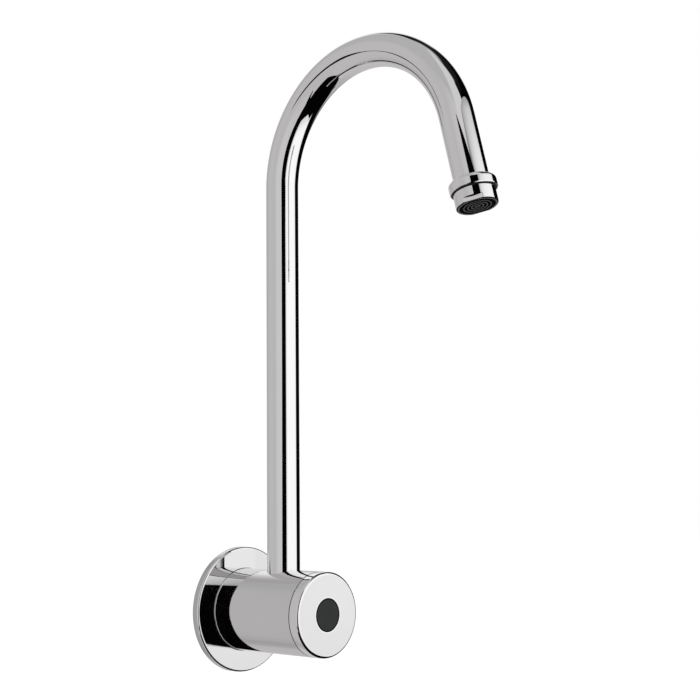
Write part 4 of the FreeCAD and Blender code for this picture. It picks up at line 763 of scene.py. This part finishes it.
# Patches of the walls, the ceiling and the floor: the angles of their left, right, bottom and top
# edges, the softness of the edges, and the tone. A later patch lies over an earlier one.
PATCHES = (
    (-220, -52, 40, 95, 14, 0.475),
    (-90, -52, -18, 22, 22, 0.62),
    (113, 156, 18, 48, 14, 0.95),
    (-52, 4, 30, 82, 10, 0.66),
    (5, 108, 34, 59, 4, 0.001),
    (14, 150, 51, 77, 12, 0.01),
    (30, 59.5, -57, 37, 3, 1.0),
    (60, 104, -60, 46, 5, 0.001),
    (60, 110, 22, 50, 5, 0.001),
    (90, 124, -3, 24, 8, 0.004),
    (70, 108, -70, -40, 5, 0.001),
    (-112, 108, -95, -60, 4, 0.001),
    (-200, -100, -95, -71, 8, 0.05),
    (100, 200, -95, -80, 6, 0.05),
)
tone = walls.outputs["Color"]
for left, right, bottom, top, softness, level in PATCHES:
    card = add_effect(sky, CARD, Left=left, Right=right, Bottom=bottom, Top=top,
                      Softness=softness)
    wire(sky, angles[0], card.inputs["Azimuth"])
    wire(sky, angles[1], card.inputs["Elevation"])
    lay = add_node(sky, "ShaderNodeMix", data_type="RGBA")
    lay.inputs[MIX_TO].default_value = (level, level, level, 1)
    wire(sky, card.outputs["Mask"], lay.inputs["Factor"])
    wire(sky, tone, lay.inputs[MIX_FROM])
    tone = lay.outputs[MIX_RESULT]

# Reflections see the walls; everything else is lit by plain white and stands before it.
ray = add_node(sky, "ShaderNodeLightPath")
open_air = add_node(sky, "ShaderNodeMix", data_type="RGBA")
open_air.inputs[MIX_FROM].default_value = (1, 1, 1, 1)
wire(sky, ray.outputs["Is Glossy Ray"], open_air.inputs["Factor"])
wire(sky, tone, open_air.inputs[MIX_TO])
background = add_node(sky, "ShaderNodeBackground", Strength=1.0)
wire(sky, open_air.outputs[MIX_RESULT], background.inputs["Color"])
output = add_node(sky, "ShaderNodeOutputWorld")
wire(sky, background.outputs["Background"], output.inputs["Surface"])

# ---- soft box, flag, floor cloth and rod ----
# A white soft box half a metre in front of the tap, brightest in its middle, a black flag to the
# left of it, a black cloth below and a thin black rod. Only the polished metal sees them.
PANEL_DISTANCE, PANEL_BLACK, CLOTH_HEIGHT = 0.5, 0.001, -0.41
UNSEEN_BY = ("camera", "diffuse", "transmission", "volume_scatter", "shadow")


def show_panel(name, panel):
    """Puts a black panel on the stage, seen by reflections alone, and returns its glow."""
    mesh = bpy.data.meshes.new(name)
    panel.to_mesh(mesh)
    panel.free()
    glow = bpy.data.materials.new(name)
    glow.use_nodes = True
    tree = glow.node_tree
    tree.nodes.clear()
    light = add_node(tree, "ShaderNodeEmission", Strength=PANEL_BLACK)
    surface = add_node(tree, "ShaderNodeOutputMaterial")
    wire(tree, light.outputs["Emission"], surface.inputs["Surface"])
    mesh.materials.append(glow)
    stand = bpy.data.objects.new(name, mesh)
    for kind in UNSEEN_BY:
        setattr(stand, "visible_" + kind, False)
    bpy.context.scene.collection.objects.link(stand)
    return tree, light


def stand_panel(name, azimuth, outline):
    """An upright panel square on to the riser, with corners at azimuths in degrees and heights."""
    panel = bmesh.new()
    panel.faces.new([
        panel.verts.new((PANEL_DISTANCE * math.tan(math.radians(side - azimuth)),
                         -PANEL_DISTANCE, height)) for side, height in outline])
    panel.transform(Matrix.Translation((0, -TUBE_DEPTH * MM, 0))
                    @ Matrix.Rotation(math.radians(azimuth), 4, "Z"))
    return show_panel(name, panel)


BOX_AZIMUTH, BOX_GLOW = 20, 1.06
tree, light = stand_panel("soft_box", BOX_AZIMUTH, (
    (-33, -0.38), (16, -0.39), (24, -0.36), (33, -0.29), (46, -0.23), (46, 0.65), (36, 0.675),
    (-33, 0.69)))
light.inputs["Color"].default_value = (BOX_GLOW, BOX_GLOW, BOX_GLOW, 1)
place = add_node(tree, "ShaderNodeTexCoord")
square_on = add_node(tree, "ShaderNodeVectorRotate", rotation_type="Z_AXIS")
square_on.inputs["Angle"].default_value = -math.radians(BOX_AZIMUTH)
split = add_node(tree, "ShaderNodeSeparateXYZ")
wire(tree, place.outputs["Object"], square_on.inputs["Vector"])
wire(tree, square_on.outputs["Vector"], split.inputs["Vector"])
# Fades: the axis, where each starts and ends along it, and the brightness at these two places.
FADES = (("X", -0.56, -0.30, 0.45, 1.0), ("Z", -0.41, 0.02, 0.68, 1.0),
         ("Z", 0.43, 0.68, 1.0, 0.38))
fades = []
for axis, start, end, low, high in FADES:
    fade = add_node(tree, "ShaderNodeMapRange", interpolation_type="SMOOTHSTEP", From_Min=start,
                    From_Max=end, To_Min=low, To_Max=high)
    wire(tree, split.outputs[axis], fade.inputs["Value"])
    fades.append(fade.outputs["Result"])
wire(tree, multiplied(tree, fades), light.inputs["Strength"])

FLAG_AZIMUTH = -37
stand_panel("black_flag", FLAG_AZIMUTH, (
    (-90, CLOTH_HEIGHT), (-21, CLOTH_HEIGHT), (-22.5, -0.2), (-22.5, 0.36), (-19, 0.44),
    (-19, 0.52), (-49, 0.56), (-50, 0.2), (-53, 0.0), (-57, -0.12), (-64, -0.24), (-90, -0.36)))

CLOTH_LEFT, CLOTH_RIGHT, CLOTH_FRONT, CLOTH_BACK = -0.55, 0.62, -0.8, 0.12
cloth = bmesh.new()
bmesh.ops.create_grid(cloth, x_segments=1, y_segments=1, size=0.5)
bmesh.ops.scale(cloth, verts=cloth.verts,
                vec=(CLOTH_RIGHT - CLOTH_LEFT, CLOTH_BACK - CLOTH_FRONT, 1))
bmesh.ops.translate(cloth, verts=cloth.verts,
                    vec=((CLOTH_LEFT + CLOTH_RIGHT) / 2, (CLOTH_FRONT + CLOTH_BACK) / 2,
                         CLOTH_HEIGHT))
show_panel("floor_cloth", cloth)

# The rod is a flat strip beside the arch that draws a fine dark line on the tube: the points of
# its middle line, and its height at each.
ROD_WAY = ((-0.064, -0.080, 0.337, 0.004), (-0.077, -0.066, 0.346, 0.017),
           (-0.087, -0.054, 0.351, 0.017), (-0.097, -0.020, 0.347, 0.009))
rod = bmesh.new()
lower, upper = [[rod.verts.new((x, y, z + height * share)) for x, y, z, height in ROD_WAY]
                for share in (-0.5, 0.5)]
for low, next_low, next_high, high in zip(lower, lower[1:], upper[1:], upper):
    rod.faces.new((low, next_low, next_high, high))
show_panel("thin_rod", rod)

# ---- camera ----
# The camera stands to the left in front of the tap, a little above the body, and looks slightly
# up, as in the photograph. Its place and turn fit the outlines of the tap's circles and tubes.
CAMERA_PLACE = (-0.61069, -0.67773, 0.07537)
CAMERA_AZIMUTH, CAMERA_LIFT, CAMERA_ROLL = -46.887, -6.427, -0.561
FOCAL_PIXELS, FRAME_PIXELS, SENSOR = 1303.5, 700, 36.0
azimuth, elevation, roll = map(math.radians, (CAMERA_AZIMUTH, CAMERA_LIFT, CAMERA_ROLL))
back = Vector((math.sin(azimuth) * math.cos(elevation), -math.cos(azimuth) * math.cos(elevation),
               math.sin(elevation)))
right = Vector((math.cos(azimuth), math.sin(azimuth), 0))
up = back.cross(right)
level_right = right * math.cos(roll) + up * math.sin(roll)
level_up = up * math.cos(roll) - right * math.sin(roll)
camera_data = bpy.data.cameras.new("camera")
camera_data.sensor_width = SENSOR
camera_data.lens = FOCAL_PIXELS * SENSOR / FRAME_PIXELS
camera = bpy.data.objects.new("camera", camera_data)
camera.matrix_world = Matrix((
    (level_right.x, level_up.x, back.x, CAMERA_PLACE[0]),
    (level_right.y, level_up.y, back.y, CAMERA_PLACE[1]),
    (level_right.z, level_up.z, back.z, CAMERA_PLACE[2]), (0, 0, 0, 1)))
bpy.context.scene.collection.objects.link(camera)
bpy.context.scene.camera = camera
bpy.context.scene.view_settings.view_transform = "Standard"
